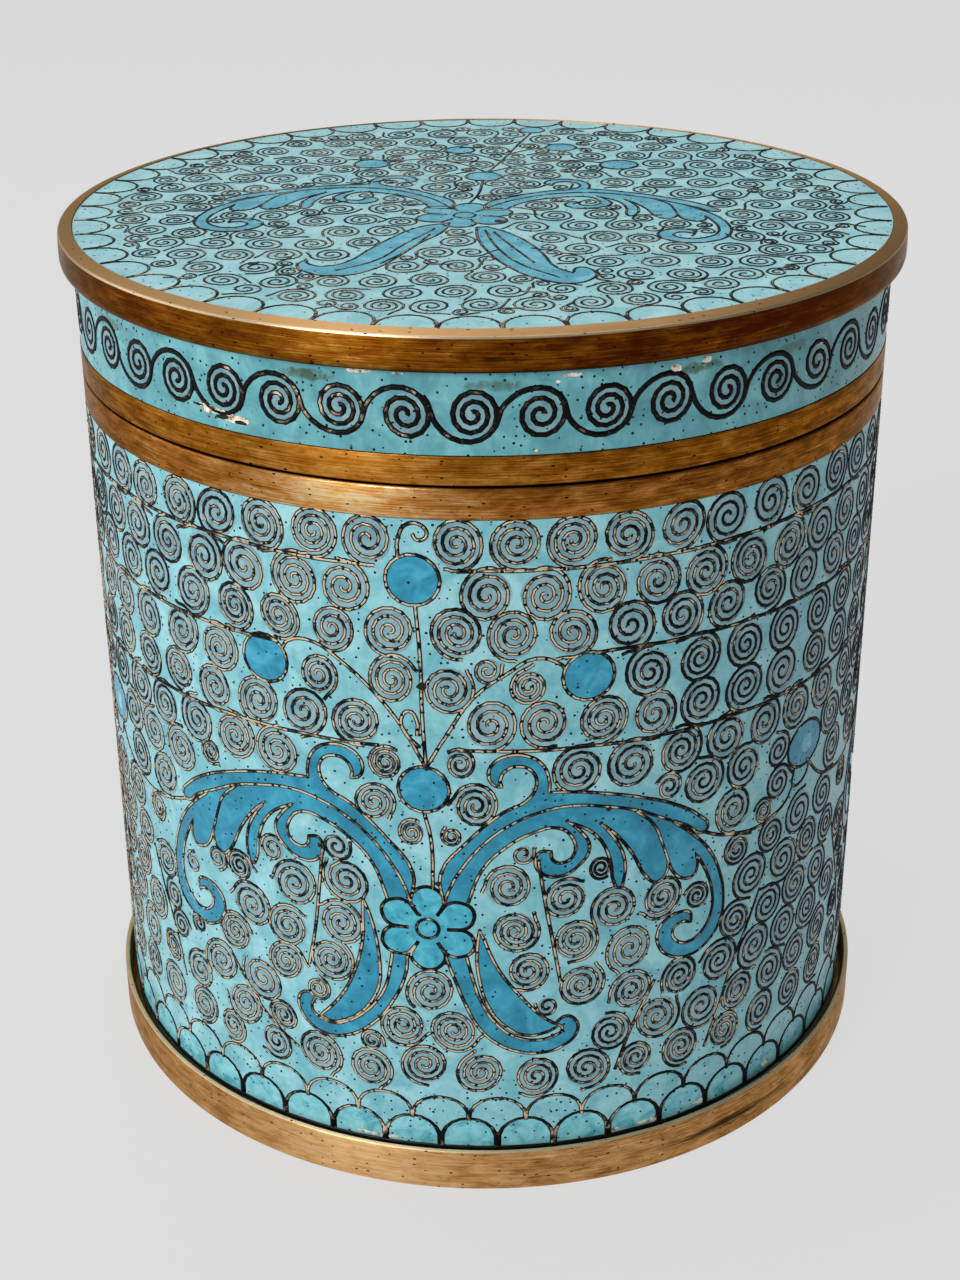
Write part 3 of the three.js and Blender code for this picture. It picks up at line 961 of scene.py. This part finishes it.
class Ground:
    # The free ground between the wires that are already laid, as the room left round each grid point.
    def __init__(self, low, high, wrap=0.0):
        xs, ys = (np.arange(low[axis], high[axis], gridStep) for axis in (0, 1))
        gridX, gridY = np.meshgrid(xs, ys)
        self.points = np.column_stack([gridX.ravel(), gridY.ravel()])
        self.room = np.full(len(self.points), 99.0)
        self.wrap = wrap

    def copiesOf(self, x):
        return (x - self.wrap, x, x + self.wrap) if self.wrap else (x,)

    def blockWires(self, strokes):
        samples = []
        for item in strokes:
            points = item["points"] + (item["points"][:1] if item["closed"] else [])
            for start, end in zip(points, points[1:]):
                count = max(1, int(math.dist(start[:2], end[:2]) / sampleStep))
                for index in range(count + 1):
                    share = index / count
                    samples.append([start[i] + (end[i] - start[i]) * share for i in (0, 1)])
        tree = kdtree.KDTree(len(samples) * len(self.copiesOf(0)))
        for index, (x, y) in enumerate((cx, y) for x, y in samples for cx in self.copiesOf(x)):
            tree.insert((x, y, 0), index)
        tree.balance()
        near = np.array([tree.find((x, y, 0))[2] for x, y in self.points])
        self.room = np.minimum(self.room, near)

    def blockInside(self, outlines):
        for item in outlines:
            for shift in self.copiesOf(0):
                points = [(p[0] + shift, p[1]) for p in item["points"]]
                inside = np.zeros(len(self.points), bool)
                for (x1, y1), (x2, y2) in zip(points, points[1:] + points[:1]):
                    if y1 == y2:
                        continue
                    crosses = (self.points[:, 1] > y1) != (self.points[:, 1] > y2)
                    at = x1 + (self.points[:, 1] - y1) * (x2 - x1) / (y2 - y1)
                    inside ^= crosses & (self.points[:, 0] < at)
                self.room[inside] = 0

    def blockCircle(self, centre, radius):
        for x in self.copiesOf(centre[0]):
            distance = np.hypot(self.points[:, 0] - x, self.points[:, 1] - centre[1]) - radius
            self.room = np.minimum(self.room, distance)

    def roomAt(self, centre):
        x = centre[0]
        if self.wrap:
            x = (x - self.points[0][0]) % self.wrap + self.points[0][0]
        nearest = np.argmin(np.hypot(self.points[:, 0] - x, self.points[:, 1] - centre[1]))
        return self.room[nearest]

    def tightestSpot(self, radius):
        fits = np.where(self.room >= radius)[0]
        if not len(fits):
            return None
        return tuple(self.points[fits[np.argmin(self.room[fits])]])


def fillWithSpirals(ground, radii, gap):
    placed = []
    for radius in radii:
        spot = ground.tightestSpot(radius + gap)
        while spot:
            placed.append((spot, radius))
            ground.blockCircle(spot, radius)
            spot = ground.tightestSpot(radius + gap)
    return placed


scroll = {
    "ring": 3.42, "pitch": 7.55, "least": 2.2, "leastRoom": 1.5, "foot": 15.0, "gap": 0.2,
    # how the crowded spirals are nudged apart: rounds, share of an overlap, room to move up or down
    "rounds": 24, "nudge": 0.3, "sway": 0.5,
    # a nest may be this much larger than it was measured, and run this far into its neighbours
    "nestGrowth": 1.13, "nestOverlap": 0.1, "nestLeast": 1.2,
    # height of a row, how far from the motif's axis its first spirals stand to the right and to the
    # left, and the side from which their tails leave
    "rows": [
        (99.7, 4.5, 6.8, -90), (93.0, 8.3, 10.0, 90), (87.3, 4.3, 4.3, -90), (80.3, 30.0, 30.0, 90),
        (74.0, 8.5, 9.0, -90), (67.3, 20.5, 20.8, 90), (61.5, 38.8, 39.8, 90), (55.2, 44.5, 44.5, -90),
        (48.6, 51.8, 47.1, 90), (42.6, 48.5, 52.5, -90), (36.8, 46.0, 48.0, 90), (30.9, 50.6, 51.0, -90),
        (24.6, 25.5, 39.1, 90), (18.5, 7.0, 1.0, -90),
    ],
    # height of a level wire, and the stretch about the motif's axis where it is left out
    "lines": [(96.5, (-4.3, 2.1)), (83.75, (-20.0, 20.0)), (70.45, (-4.5, 3.5))],
    "fillRings": [3.2, 2.9, 2.6, 2.3, 2.0],
    "cellShare": 0.93,
}
motifCentre = (-8.0, 43.0)
# Single spirals in the motif: distance from the flower's centre across and up, and ring radius.
nests = [
    (-14.1, 36.8, 2.4), (-3.9, 37.7, 2.9), (3.4, 36.7, 2.9), (8.4, 39.4, 1.6), (13.6, 37.0, 2.1),
    (-5.2, 25.4, 2.0), (4.6, 25.8, 1.8), (-6.9, 19.0, 2.8), (6.5, 19.5, 2.7), (-33.0, 20.2, 1.6),
    (-1.9, 15.1, 1.6), (3.4, 14.8, 1.2), (0.1, -10.4, 3.0), (-3.6, -16.5, 2.9), (3.6, -16.8, 2.9),
    (-8.3, -19.8, 1.5), (-24.0, -24.5, 2.8), (-16.4, -23.9, 3.0), (-8.6, -24.6, 2.8), (-0.8, -22.9, 2.9),
    (7.0, -23.5, 2.9), (14.8, -24.9, 2.8), (25.5, -18.6, 3.1), (33.0, -18.0, 3.1), (40.4, -18.9, 3.1),
    (-12.5, 11.3, 1.8), (-11.5, 6.2, 3.0), (-19.5, 3.7, 3.1), (-26.6, 4.3, 2.6), (-33.2, 3.1, 2.7),
    (-38.7, 0.2, 1.4), (-12.5, -0.8, 3.1), (-27.1, -2.1, 3.0), (-20.7, -3.5, 3.0), (-14.0, -7.2, 3.1),
    (-21.3, -9.6, 2.9), (-30.4, -7.9, 3.0), (-26.0, -14.1, 3.1), (-16.3, -12.7, 1.6), (-34.0, -14.5, 3.0),
    (-38.5, -10.2, 1.8), (-43.2, -12.6, 2.8), (-22.4, -19.4, 2.2), (-29.6, -19.9, 2.9),
    (13.0, 11.9, 1.3), (10.8, 6.8, 2.8), (12.1, -0.2, 2.8), (13.6, -7.0, 2.6), (16.3, -12.9, 1.3),
    (18.9, 4.5, 2.7), (20.3, -2.7, 2.8), (21.3, -9.8, 3.0), (23.7, 8.5, 1.6), (25.6, 1.7, 2.9),
    (28.0, -5.5, 3.1), (32.8, 1.7, 3.0), (38.5, 0.4, 1.8), (28.4, -12.4, 3.1), (36.1, -12.3, 2.9),
    (43.0, -12.0, 3.1), (45.6, 5.5, 2.1), (50.4, 9.8, 2.1),
]
# Round places in the motif that are left empty, to either side of its axis.
keptClear = [(12.3, 22.9, 2.5), (17.6, 12.6, 1.8), (37.6, -4.0, 2.3), (3.0, 30.0, 2.0), (1.4, 9.6, 2.8)]
# Pools of fire scale on the motif's wires, with their width.
pools = [
    (1.5, 7.3, 1.0), (-0.25, 37.0, 1.4), (-1.2, 2.2, 0.8), (0.3, 25.0, 0.9), (-15.1, 10.9, 0.8),
    (24.6, 17.6, 0.8),
]


def turnsFor(radius):
    return 3.05 if radius > 2.8 else 2.7 if radius > 2.2 else 2.1 if radius > 1.6 else 1.6


def lineStrokes(height, leftOut, rng, wave=0.3):
    # A level wire round the jar, cut where the motif stands in its way.
    step = 3.5
    count = round(aroundJar / step)
    runs, run = [], []
    phase = rng.uniform(0, 6)
    for index in range(count + 1):
        x = -aroundJar / 2 + aroundJar * index / count
        y = height + wave * math.sin(3 * 2 * math.pi * index / count + phase) + rng.uniform(-0.08, 0.08)
        across = (x - motifCentre[0] + sectorWidth / 2) % sectorWidth - sectorWidth / 2
        if leftOut and leftOut[0] < across < leftOut[1]:
            if len(run) > 1:
                runs.append(stroke(run))
            run = []
        else:
            run.append((x, y))
    runs.append(stroke(run))
    return runs


def rowSpots(row, low, rng):
    # One row of a sector, spread evenly from the first spiral on the right round to the first on the left.
    height, right, left, _ = row
    gaps = round((sectorWidth - right - left) / scroll["pitch"])
    pitch = (sectorWidth - right - left) / gaps
    spots = []
    for index in range(gaps + 1):
        x = motifCentre[0] + right + index * pitch + rng.uniform(-0.25, 0.25)
        spots.append(((x - low) % sectorWidth + low, height + rng.uniform(-0.3, 0.3)))
    return spots


def spreadApart(spots, posts, ground):
    # Crowded spirals are nudged apart, mostly along their row, until each has room for a full ring.
    ring = scroll["ring"] - 0.05
    at = np.array(spots)
    home = at[:, 1].copy()
    fixed = np.array([spot for spot, _, _ in posts])
    fixedReach = np.array([own + ring for _, own, _ in posts])
    for _ in range(scroll["rounds"]):
        push = np.zeros_like(at)
        for others, reach in ((at, np.full(len(at), 2 * ring)), (fixed, fixedReach)):
            gap = at[:, None, :] - others[None, :, :]
            gap[..., 0] = (gap[..., 0] + sectorWidth / 2) % sectorWidth - sectorWidth / 2
            distance = np.maximum(np.hypot(gap[..., 0], gap[..., 1]), 1e-6)
            overlap = np.where(distance > 1e-3, np.clip(reach - distance, 0, None), 0)
            push += (gap * (scroll["nudge"] * overlap / distance)[..., None]).sum(axis=1)
        moved = at + push
        moved[:, 1] = np.clip(moved[:, 1], home - scroll["sway"], home + scroll["sway"])
        for index, spot in enumerate(moved):
            if ground.roomAt(spot) >= min(ring, ground.roomAt(at[index])):
                at[index] = spot
    return [tuple(spot) for spot in at]


def scrollSpots(sector, rng):
    low = (motifCentre[0] - sectorWidth / 2, scroll["foot"])
    high = (motifCentre[0] + sectorWidth / 2, jarSkin["high"] + 0.1)
    ground = Ground(low, high, wrap=sectorWidth)
    solid = asCells(sector["leaves"] + sector["blades"] + sector["buds"] + sector["petals"])
    ground.blockInside(solid)
    ground.blockWires(solid + sector["wires"])
    ground.blockCircle(motifCentre, flower["notch"])
    edges = np.minimum(ground.points[:, 1] - low[1], high[1] - ground.points[:, 1])
    ground.room = np.minimum(ground.room, np.maximum(edges, 0))
    for side in (-1, 1):
        for across, up, radius in keptClear:
            ground.blockCircle((motifCentre[0] + side * across, motifCentre[1] + up), radius)
    spirals = []
    for across, up, ring in nests:
        spot = (motifCentre[0] + across, motifCentre[1] + up)
        ring = min(ring * scroll["nestGrowth"], ground.roomAt(spot) + scroll["nestOverlap"])
        if ring > scroll["nestLeast"]:
            spirals.append((spot, ring, None))
            ground.blockCircle(spot, ring)
    rowSpirals = [(spot, row[3]) for row in scroll["rows"] for spot in rowSpots(row, low[0], rng)]
    rowSpirals = [(spot, side) for spot, side in rowSpirals if ground.roomAt(spot) > scroll["leastRoom"]]
    places = spreadApart([spot for spot, _ in rowSpirals], spirals, ground)
    for spot, (_, side) in zip(places, rowSpirals):
        ring = min(scroll["ring"], ground.roomAt(spot)) + rng.uniform(-0.15, 0.05)
        if ring > scroll["least"]:
            spirals.append((spot, ring, side))
            ground.blockCircle(spot, ring)
    for height, leftOut in scroll["lines"]:
        start, end = leftOut or (0, 0)
        middle, half = motifCentre[0], sectorWidth / 2
        ground.blockWires([
            stroke([(middle - half, height), (middle + start, height)]),
            stroke([(middle + end, height), (middle + half, height)]),
        ])
    filled = fillWithSpirals(ground, scroll["fillRings"], scroll["gap"])
    return spirals + [(spot, ring, None) for spot, ring in filled]


seeds = {"jar": 11, "scales": 3, "lidSide": 5, "lidTop": 23}
wireWidths = {
    "jarScroll": 1.03, "jarMotif": 1.08, "jarPetal": 1.15, "jarBeads": 0.9,
    "grime": 1.7, "lidSide": 1.4, "topScroll": 0.74, "topMotif": 0.86, "topBeads": 0.64,
}
tarnished = {"side": 0.0, "blackened": 0.35, "scales": 0.05, "lidSide": 0.42, "lidTop": 0.1}


def makeJarPattern():
    rng = random.Random(seeds["jar"])
    motif = jarMotif()
    sector = {kind: [shifted(item, motifCentre) for item in items] for kind, items in motif.items()}
    spirals = scrollSpots(sector, rng)
    lines = [run for height, leftOut in scroll["lines"] for run in lineStrokes(height, leftOut, rng)]
    scrollWires, motifWires, petalWires, blots = [], [], [], []
    cells = {"scroll": [], "leaves": [], "blades": [], "buds": [], "petals": [], "hearts": [], "pale": []}
    for k in range(sectorCount):
        shift = (sectorWidth * (k - 1), 0)
        centre = (motifCentre[0] + shift[0], motifCentre[1])
        for spot, ring, side in spirals:
            angle = math.radians(side + rng.uniform(-14, 14)) if side else rng.uniform(-math.pi, math.pi)
            tail = rng.uniform(0.6, 1.8) if ring > 2.2 else rng.uniform(0.3, 0.9)
            spot = (spot[0] + shift[0], spot[1])
            turns = turnsFor(ring) + rng.uniform(-0.35, 0.35)
            scrollWires.append(spiralStroke(spot, ring, turns, angle, rng.choice((-1, 1)), tail, rng))
            cells["scroll"].append((spot, ring * scroll["cellShare"]))
        for kind in ("leaves", "blades", "veins", "buds", "wires"):
            motifWires += [shifted(item, shift) for item in sector[kind]]
        petalWires += [shifted(item, shift) for item in sector["petals"]]
        petalWires.append(circleStroke(centre, flower["eye"]))
        for kind in ("leaves", "blades", "buds", "petals"):
            cells[kind] += [shifted(item, shift) for item in asCells(sector[kind])]
        cells["hearts"].append((centre, flower["notch"] * flower["stretch"][0]))
        across, up, radius, _ = buds["side"]
        cells["pale"].append(((centre[0] + across + 0.5, centre[1] + up - 0.2), radius * 0.4))
        for across, up, width in pools:
            blots.append(blotStroke((centre[0] + across, centre[1] + up), width, width * 0.8, rng))
    wire = wireMaterial("copper_wire_side", tarnished["side"])
    blackened = wireMaterial("copper_wire_blackened", tarnished["blackened"])
    fireScale = fireScaleMaterial()
    motifWires += lines
    beads = beadStrokes(scrollWires + motifWires, rng)
    for kind, strokes, material, width in (
        ("scroll_wires", scrollWires, wire, "jarScroll"), ("motif_wires", motifWires, wire, "jarMotif"),
        ("petal_wires", petalWires, blackened, "jarPetal"), ("wire_beads", beads, fireScale, "jarBeads"),
    ):
        addOnJar(f"jar_{kind}", wiresMesh, strokes, material, "copper", widthScale=wireWidths[width])
    addOnJar("jar_scale_pools", cellsMesh, blots, fireScale, "copper", rise=rises["pool"])
    # Discs inside the spirals, a greyer enamel: painted shade from the wires.
    addOnJar("jar_scroll_cells", discsMesh, cells["scroll"], enamelMaterial("scroll"), rise=rises["scroll"])
    for kind, finish, rise in (
        ("leaves", "leaf", "leaf"), ("blades", "leaf", "leaf"),
        ("buds", "bud", "leaf"), ("petals", "petal", "petal"),
    ):
        enamel = enamelMaterial(finish)
        addOnJar(f"jar_{kind}_cells", cellsMesh, cells[kind], enamel, rise=rises[rise], cutEvery=strip)
    for name, kind, finish in (("jar_flower_hearts", "hearts", "petal"), ("jar_pale_blooms", "pale", "pale")):
        addOnJar(name, discsMesh, cells[kind], enamelMaterial(finish), rise=rises["heart"], sides=heartSides)
    print("jar spirals", len(scrollWires), "beads", len(beads))


scales = {
    "count": 45, "foot": 6.4, "crest": 11.2, "upperFoot": 10.8, "upperCrest": 14.8, "phase": 5.45,
    "grime": 5.9, "pooled": 1.15, "upperPooled": 0.25, "bulge": 0.8,
}
wear = {
    # arc length, height, width and height of each chip
    "footChips": [(18.7, 6.9, 1.6, 0.5), (24.0, 6.9, 4.4, 0.5), (32.8, 7.0, 2.2, 0.9), (46.7, 7.3, 2.0, 0.9),
                  (-16.0, 6.9, 6.0, 0.5)],
    "lidChips": [(-36.6, 113.9, 4.6, 1.1), (-33.0, 113.3, 5.0, 1.5), (-15.3, 122.0, 4.2, 0.8),
                 (-10.4, 121.9, 1.6, 0.4), (10.8, 121.6, 2.2, 0.6), (9.0, 120.8, 0.8, 0.4),
                 (24.2, 121.0, 1.8, 1.2),
                 (28.6, 121.4, 1.6, 0.8), (6.5, 112.1, 0.7, 0.4), (49.0, 119.6, 1.0, 0.8)],
    "lidPits": [(-34.8, 113.2, 2.2, 0.7), (-31.8, 112.9, 1.9, 0.6), (-38.9, 114.1, 1.8, 0.4)],
}


def scaleArc(centre, pitch, foot, crest, pooled, count=10):
    # One fish scale: half an oval from valley to valley, its wire thicker in the valleys where scale pooled.
    half = pitch / 2
    angles = [math.pi * i / count for i in range(count + 1)]
    points = [
        (centre - half * math.cos(a), foot + (crest - foot) * math.sin(a) ** scales["bulge"]) for a in angles
    ]
    return stroke(points, smooth=False, widths=[0.95 + pooled * (1 - math.sin(a)) ** 2 for a in angles])


def makeScales():
    rng = random.Random(seeds["scales"])
    pitch = aroundJar / scales["count"]
    lower, upper, cells = [], [], []
    for index in range(scales["count"]):
        valley = scales["phase"] + index * pitch - aroundJar / 2
        arc = scaleArc(valley + pitch / 2, pitch, scales["foot"], scales["crest"], scales["pooled"])
        lower.append(arc)
        cells.append({**arc, "closed": True, "widths": None})
        upper.append(
            scaleArc(valley, pitch, scales["upperFoot"], scales["upperCrest"], scales["upperPooled"])
        )
    chips = [blotStroke(mark[:2], *mark[2:], rng) for mark in wear["footChips"]]
    dark = wireMaterial("copper_wire_blackened", tarnished["blackened"])
    bright = wireMaterial("copper_wire_scales", tarnished["scales"])
    addOnJar("jar_scale_wires", wiresMesh, lower, dark, "copper")
    addOnJar("jar_upper_scale_wires", wiresMesh, upper, bright, "copper")
    addOnJar("jar_upper_scale_beads", wiresMesh, beadStrokes(upper, rng), fireScaleMaterial(), "copper")
    enamel = enamelMaterial("scale")
    addOnJar("jar_scale_cells", cellsMesh, cells, enamel, rise=rises["scroll"], cutEvery=strip)
    addOnJar("jar_foot_chips", cellsMesh, chips, chalkMaterial(), rise=rises["pit"], cutEvery=strip)
    # A black line of fire scale material round the jar just above the foot hoop: painted shade in the gap
    # between hoop and enamel.
    grime = lineStrokes(scales["grime"], None, rng, wave=0.06)
    addOnJar("jar_foot_grime", wiresMesh, grime, fireScaleMaterial(), widthScale=wireWidths["grime"])


lidScroll = {
    "count": 44, "ring": 3.3, "start": -1.5, "turns": 2.6, "leans": (0.75, 0.45, 0.2),
    "inset": 0.4, "disc": 0.82,
}


def makeLidSide():
    # A chain of spirals: each one's wire comes from the last, over it and under it by turns.
    rng = random.Random(seeds["lidSide"])
    pitch = aroundJar / lidScroll["count"]
    middle = (lidSkin["low"] + lidSkin["high"]) / 2
    ring = lidScroll["ring"]
    flare = pitch - ring * (2 + spiralForm["flareOut"])
    spirals, discs = [], []
    for index in range(lidScroll["count"]):
        along = lidScroll["start"] + (index - lidScroll["count"] / 2) * pitch
        spot = (along, middle + rng.uniform(-0.2, 0.2))
        turns = lidScroll["turns"] + rng.uniform(-0.2, 0.2)
        handed = -1 if index % 2 else 1
        coil = spiralStroke(spot, ring, turns, math.pi + handed * 0.15, handed, 0, rng, flare)
        start = [
            (spot[0] - pitch + ring * math.cos(lean), middle + handed * ring * math.sin(lean))
            for lean in lidScroll["leans"]
        ]
        spirals.append({**coil, "points": start + coil["points"]})
        discs.append(((spot[0] + lidScroll["inset"], spot[1]), ring * lidScroll["disc"]))
    wire = wireMaterial("copper_wire_lid", tarnished["lidSide"])
    addOnJar("lid_side_wires", wiresMesh, spirals, wire, "copper", widthScale=wireWidths["lidSide"])
    addOnJar("lid_side_beads", wiresMesh, beadStrokes(spirals, rng), fireScaleMaterial(), "copper")
    # Discs inside the lid side's spirals, a greyer enamel: painted shade from the wires.
    addOnJar("lid_side_cells", discsMesh, discs, enamelMaterial("lidScroll"), rise=rises["scroll"])
    for name, marks, material, rise in (
        ("lid_side_chips", "lidChips", chalkMaterial(), "chip"),
        ("lid_side_pits", "lidPits", fireScaleMaterial(), "pit"),
    ):
        blots = [blotStroke(mark[:2], *mark[2:], rng) for mark in wear[marks]]
        addOnJar(name, cellsMesh, blots, material, rise=rises[rise], cutEvery=strip)


lidTop = {
    "flower": (-2.5, -4.8), "wingScale": 0.87, "rightTurn": -13, "petalTurn": -10,
    # spirals stand in rows, each shifted by half their spacing, and smaller ones fill what is left
    "ring": 2.7, "least": 2.0, "rowCount": 8, "across": 6.6, "shift": 3.3, "up": 6.0,
    "wave": 1.2, "waveLength": 14,
    "fillRings": [2.6, 2.3, 2.0, 1.7, 1.4, 1.15],
    "scales": 46, "scaleDepth": 4.9, "scalePooled": 0.4, "scalePhase": 0.3, "edgeRoom": 0.2,
    # middle, width and height of each pool of fire scale
    "pools": [((2.4, -8.4), 1.6, 1.4), ((-30.0, -29.0), 1.8, 1.1)],
    "buds": [
        (0.2, 18.0, 2.7), (-17, 26.5, 2.7), (21, 25, 2.9), (-3.5, 35.5, 2.3), (12.5, 37, 2.4),
        (8.2, 49.6, 2.0),
    ],
    "stems": [
        [(-2.0, 1.5), (-0.6, 7), (0.1, 15.3)],
        [(0.8, 20.7), (3, 28), (5.2, 37), (8.0, 47.6)],
        [(0.8, 20.7), (-3.5, 26.5), (-9, 29.5), (-14.4, 27.6)],
        [(0.8, 20.7), (7.5, 26), (13.5, 28), (18.4, 26.4)],
        [(3, 28), (-0.5, 32), (-2.4, 33.5)],
        [(4, 32.5), (8.5, 36.2), (10.2, 36.6)],
    ],
    "leftLeaf": [
        (-4.5, -9, tip), (-8.6, -11), (-12.6, -17), (-15.4, -23), (-17.6, -28), (-20.4, -30.4),
        (-22.6, -29.4),
        (-23.2, -27, tip), (-24.2, -29.6), (-22.6, -33.2), (-18.6, -35.0), (-14.6, -32.4), (-11.4, -26.6),
        (-8.6, -19.6), (-5.6, -14.0),
    ],
    "rightLeaf": [
        (-0.8, -11.4, tip), (-0.6, -17), (0.8, -24), (3.6, -31.6), (7.4, -37), (11.2, -39), (14.0, -36.8),
        (14.4, -33.4), (12.6, -31.6), (11.6, -34.2, tip), (9.6, -31.6), (8.0, -25), (5.8, -18.4),
        (3.0, -13.6),
        (0.8, -11.2, tip),
    ],
    "leafVeins": [
        [(-6.6, -12), (-10.6, -20), (-14.2, -28), (-19, -32.4)], [(-7.2, -15), (-10.0, -23),
         (-13.4, -29.4)],
        [(0.4, -13), (1.9, -21.5), (5.0, -30), (9.8, -36.2)], [(1.6, -14), (4.2, -22), (6.8, -29.4)],
    ],
}


def makeLidTop():
    rng = random.Random(seeds["lidTop"])
    at = lidTop["flower"]
    sides = ({"turn": lidTop["rightTurn"]}, {"mirror": True})
    forms = [{"scale": lidTop["wingScale"], **side} for side in sides]
    wings = [shifted(stroke(wing["outline"], True), at, **form) for form in forms]
    veins = [shifted(stroke(points), at, **form) for points in wing["veins"] for form in forms]
    veins += [stroke(points) for points in lidTop["leafVeins"]]
    leaves = wings + [stroke(lidTop["leftLeaf"], True), stroke(lidTop["rightLeaf"], True)]
    petals = [shifted(item, at, turn=lidTop["petalTurn"]) for item in flowerStrokes()]
    budRings = [circleStroke(bud[:2], bud[2]) for bud in lidTop["buds"]]
    stemWires = [stroke(points) for points in lidTop["stems"]]
    rimRadius = lidDisc["radius"] - lidTop["edgeRoom"]
    pitch = 2 * math.pi * rimRadius / lidTop["scales"]
    arcs = []
    for index in range(lidTop["scales"]):
        middle = (index + lidTop["scalePhase"]) * pitch
        arc = scaleArc(middle, pitch, 0, lidTop["scaleDepth"], lidTop["scalePooled"])
        bent = [((rimRadius - y) * math.cos(x / rimRadius), (rimRadius - y) * math.sin(x / rimRadius))
                for x, y in arc["points"]]
        arcs.append({**arc, "points": bent})
    reach = rimRadius - lidTop["scaleDepth"] - 0.1
    ground = Ground((-reach, -reach), (reach, reach))
    solid = leaves + asCells(petals) + budRings
    ground.blockInside(solid)
    ground.blockWires(solid + stemWires)
    ground.blockCircle(at, flower["notch"])
    ground.room = np.minimum(ground.room, np.maximum(reach - np.hypot(*ground.points.T), 0))
    placed = []
    steps = range(-lidTop["rowCount"], lidTop["rowCount"] + 1)
    for row, column in ((row, column) for row in steps for column in steps):
        x = column * lidTop["across"] + (row % 2) * lidTop["shift"] + rng.uniform(-0.5, 0.5)
        y = row * lidTop["up"] + lidTop["wave"] * math.sin(x / lidTop["waveLength"]) + rng.uniform(-0.4, 0.4)
        ring = min(lidTop["ring"], ground.roomAt((x, y)) - 0.1)
        if math.hypot(x, y) < reach and ring > lidTop["least"]:
            placed.append(((x, y), ring))
            ground.blockCircle((x, y), ring)
    placed += fillWithSpirals(ground, lidTop["fillRings"], scroll["gap"])
    spirals = []
    for spot, ring in placed:
        turns = turnsFor(ring) + rng.uniform(-0.4, 0.2)
        angle = rng.uniform(-math.pi, math.pi)
        handed, tail = rng.choice((-1, 1)), rng.uniform(0.8, 2.8)
        spirals.append(spiralStroke(spot, ring, turns, angle, handed, tail, rng))
    motifWires = leaves + veins + petals + budRings + stemWires + arcs + [circleStroke(at, flower["eye"])]
    beads = beadStrokes(spirals + motifWires, rng)
    wire = wireMaterial("copper_wire_top", tarnished["lidTop"], flat=True)
    fireScale = fireScaleMaterial()
    for kind, strokes, material, width in (
        ("scroll_wires", spirals, wire, "topScroll"), ("motif_wires", motifWires, wire, "topMotif"),
        ("beads", beads, fireScale, "topBeads"),
    ):
        addOnTop(f"lid_top_{kind}", wiresMesh, strokes, material, "copper", widthScale=wireWidths[width])
    blots = [blotStroke(*pool, rng) for pool in lidTop["pools"]]
    addOnTop("lid_top_scale_pools", cellsMesh, blots, fireScale, "copper", rise=rises["topPool"])
    # Discs inside the lid top's spirals, a little greyer: painted shade from the wires.
    discs = [(spot, ring * scroll["cellShare"]) for spot, ring in placed]
    enamel = enamelMaterial("lidTopScroll", True)
    addOnTop("lid_top_scroll_cells", discsMesh, discs, enamel, rise=rises["topScroll"])
    leaf = enamelMaterial("lidLeaf", True)
    for kind, outlines, rise in (
        ("leaf", leaves, "scroll"), ("bud", budRings, "scroll"), ("petal", asCells(petals), "topPetal"),
    ):
        addOnTop(f"lid_top_{kind}_cells", cellsMesh, outlines, leaf, rise=rises[rise])
    heart = [(at, flower["notch"] * flower["stretch"][0])]
    addOnTop("lid_top_flower_heart", discsMesh, heart, leaf, rise=rises["topHeart"], sides=heartSides)
    print("lid spirals", len(spirals), "beads", len(beads))


makeJarPattern()
print("jar pattern laid")
makeScales()
makeLidSide()
makeLidTop()
print("lid pattern laid")


# Studio

studio = {
    "paper": "#505050", "glow": 0.642,  # the paper is lit from behind too, which keeps its tone even
    "worldLeft": 0.65, "worldRight": 0.06,
    # name, place in metres, size, power in watts
    "lights": [
        ("key_softbox", (-0.66, -0.90, 0.6), 0.5, 9.0),
        ("left_panel", (-0.9, 0.1, 0.35), 0.8, 1.5),
        ("top_softbox", (0.05, 0.3, 1.1), 0.9, 4.5),
    ],
}


def makeStudio():
    work = bmesh.new()
    bmesh.ops.create_grid(work, x_segments=1, y_segments=1, size=4)
    mesh = bpy.data.meshes.new("studio_floor")
    work.to_mesh(mesh)
    work.free()
    paper = {
        "Roughness": 0.9, "Specular IOR Level": 0.1, "Base Color": studio["paper"],
        "Emission Color": (1, 1, 1, 1), "Emission Strength": studio["glow"],
    }
    mesh.materials.append(newMaterial("studio_paper", paper)[0])
    floor = bpy.data.objects.new("studio_floor", mesh)
    bpy.context.scene.collection.objects.link(floor)
    world = bpy.data.worlds.new("studio_world")
    world.use_nodes = True
    tree = world.node_tree
    towards = addNode(tree, "TexCoord").outputs["Generated"]
    sideways = addNode(tree, "SeparateXYZ", [towards])
    strength = addNode(tree, "MapRange", [sideways, -1.0, 1.0, studio["worldLeft"], studio["worldRight"]])
    setInputs(tree, tree.nodes["Background"], [(1, 1, 1, 1), strength])
    bpy.context.scene.world = world
    for name, place, size, power in studio["lights"]:
        data = bpy.data.lights.new(name, "AREA")
        data.shape = "SQUARE"
        data.size = size
        data.energy = power
        light = bpy.data.objects.new(name, data)
        light.location = place
        aim = Vector((0, 0, 0.06)) - Vector(place)
        light.rotation_mode = "QUATERNION"
        light.rotation_quaternion = aim.to_track_quat("-Z", "Y")
        bpy.context.scene.collection.objects.link(light)
    bpy.context.scene.view_settings.view_transform = "Standard"


makeStudio()
print("studio set")
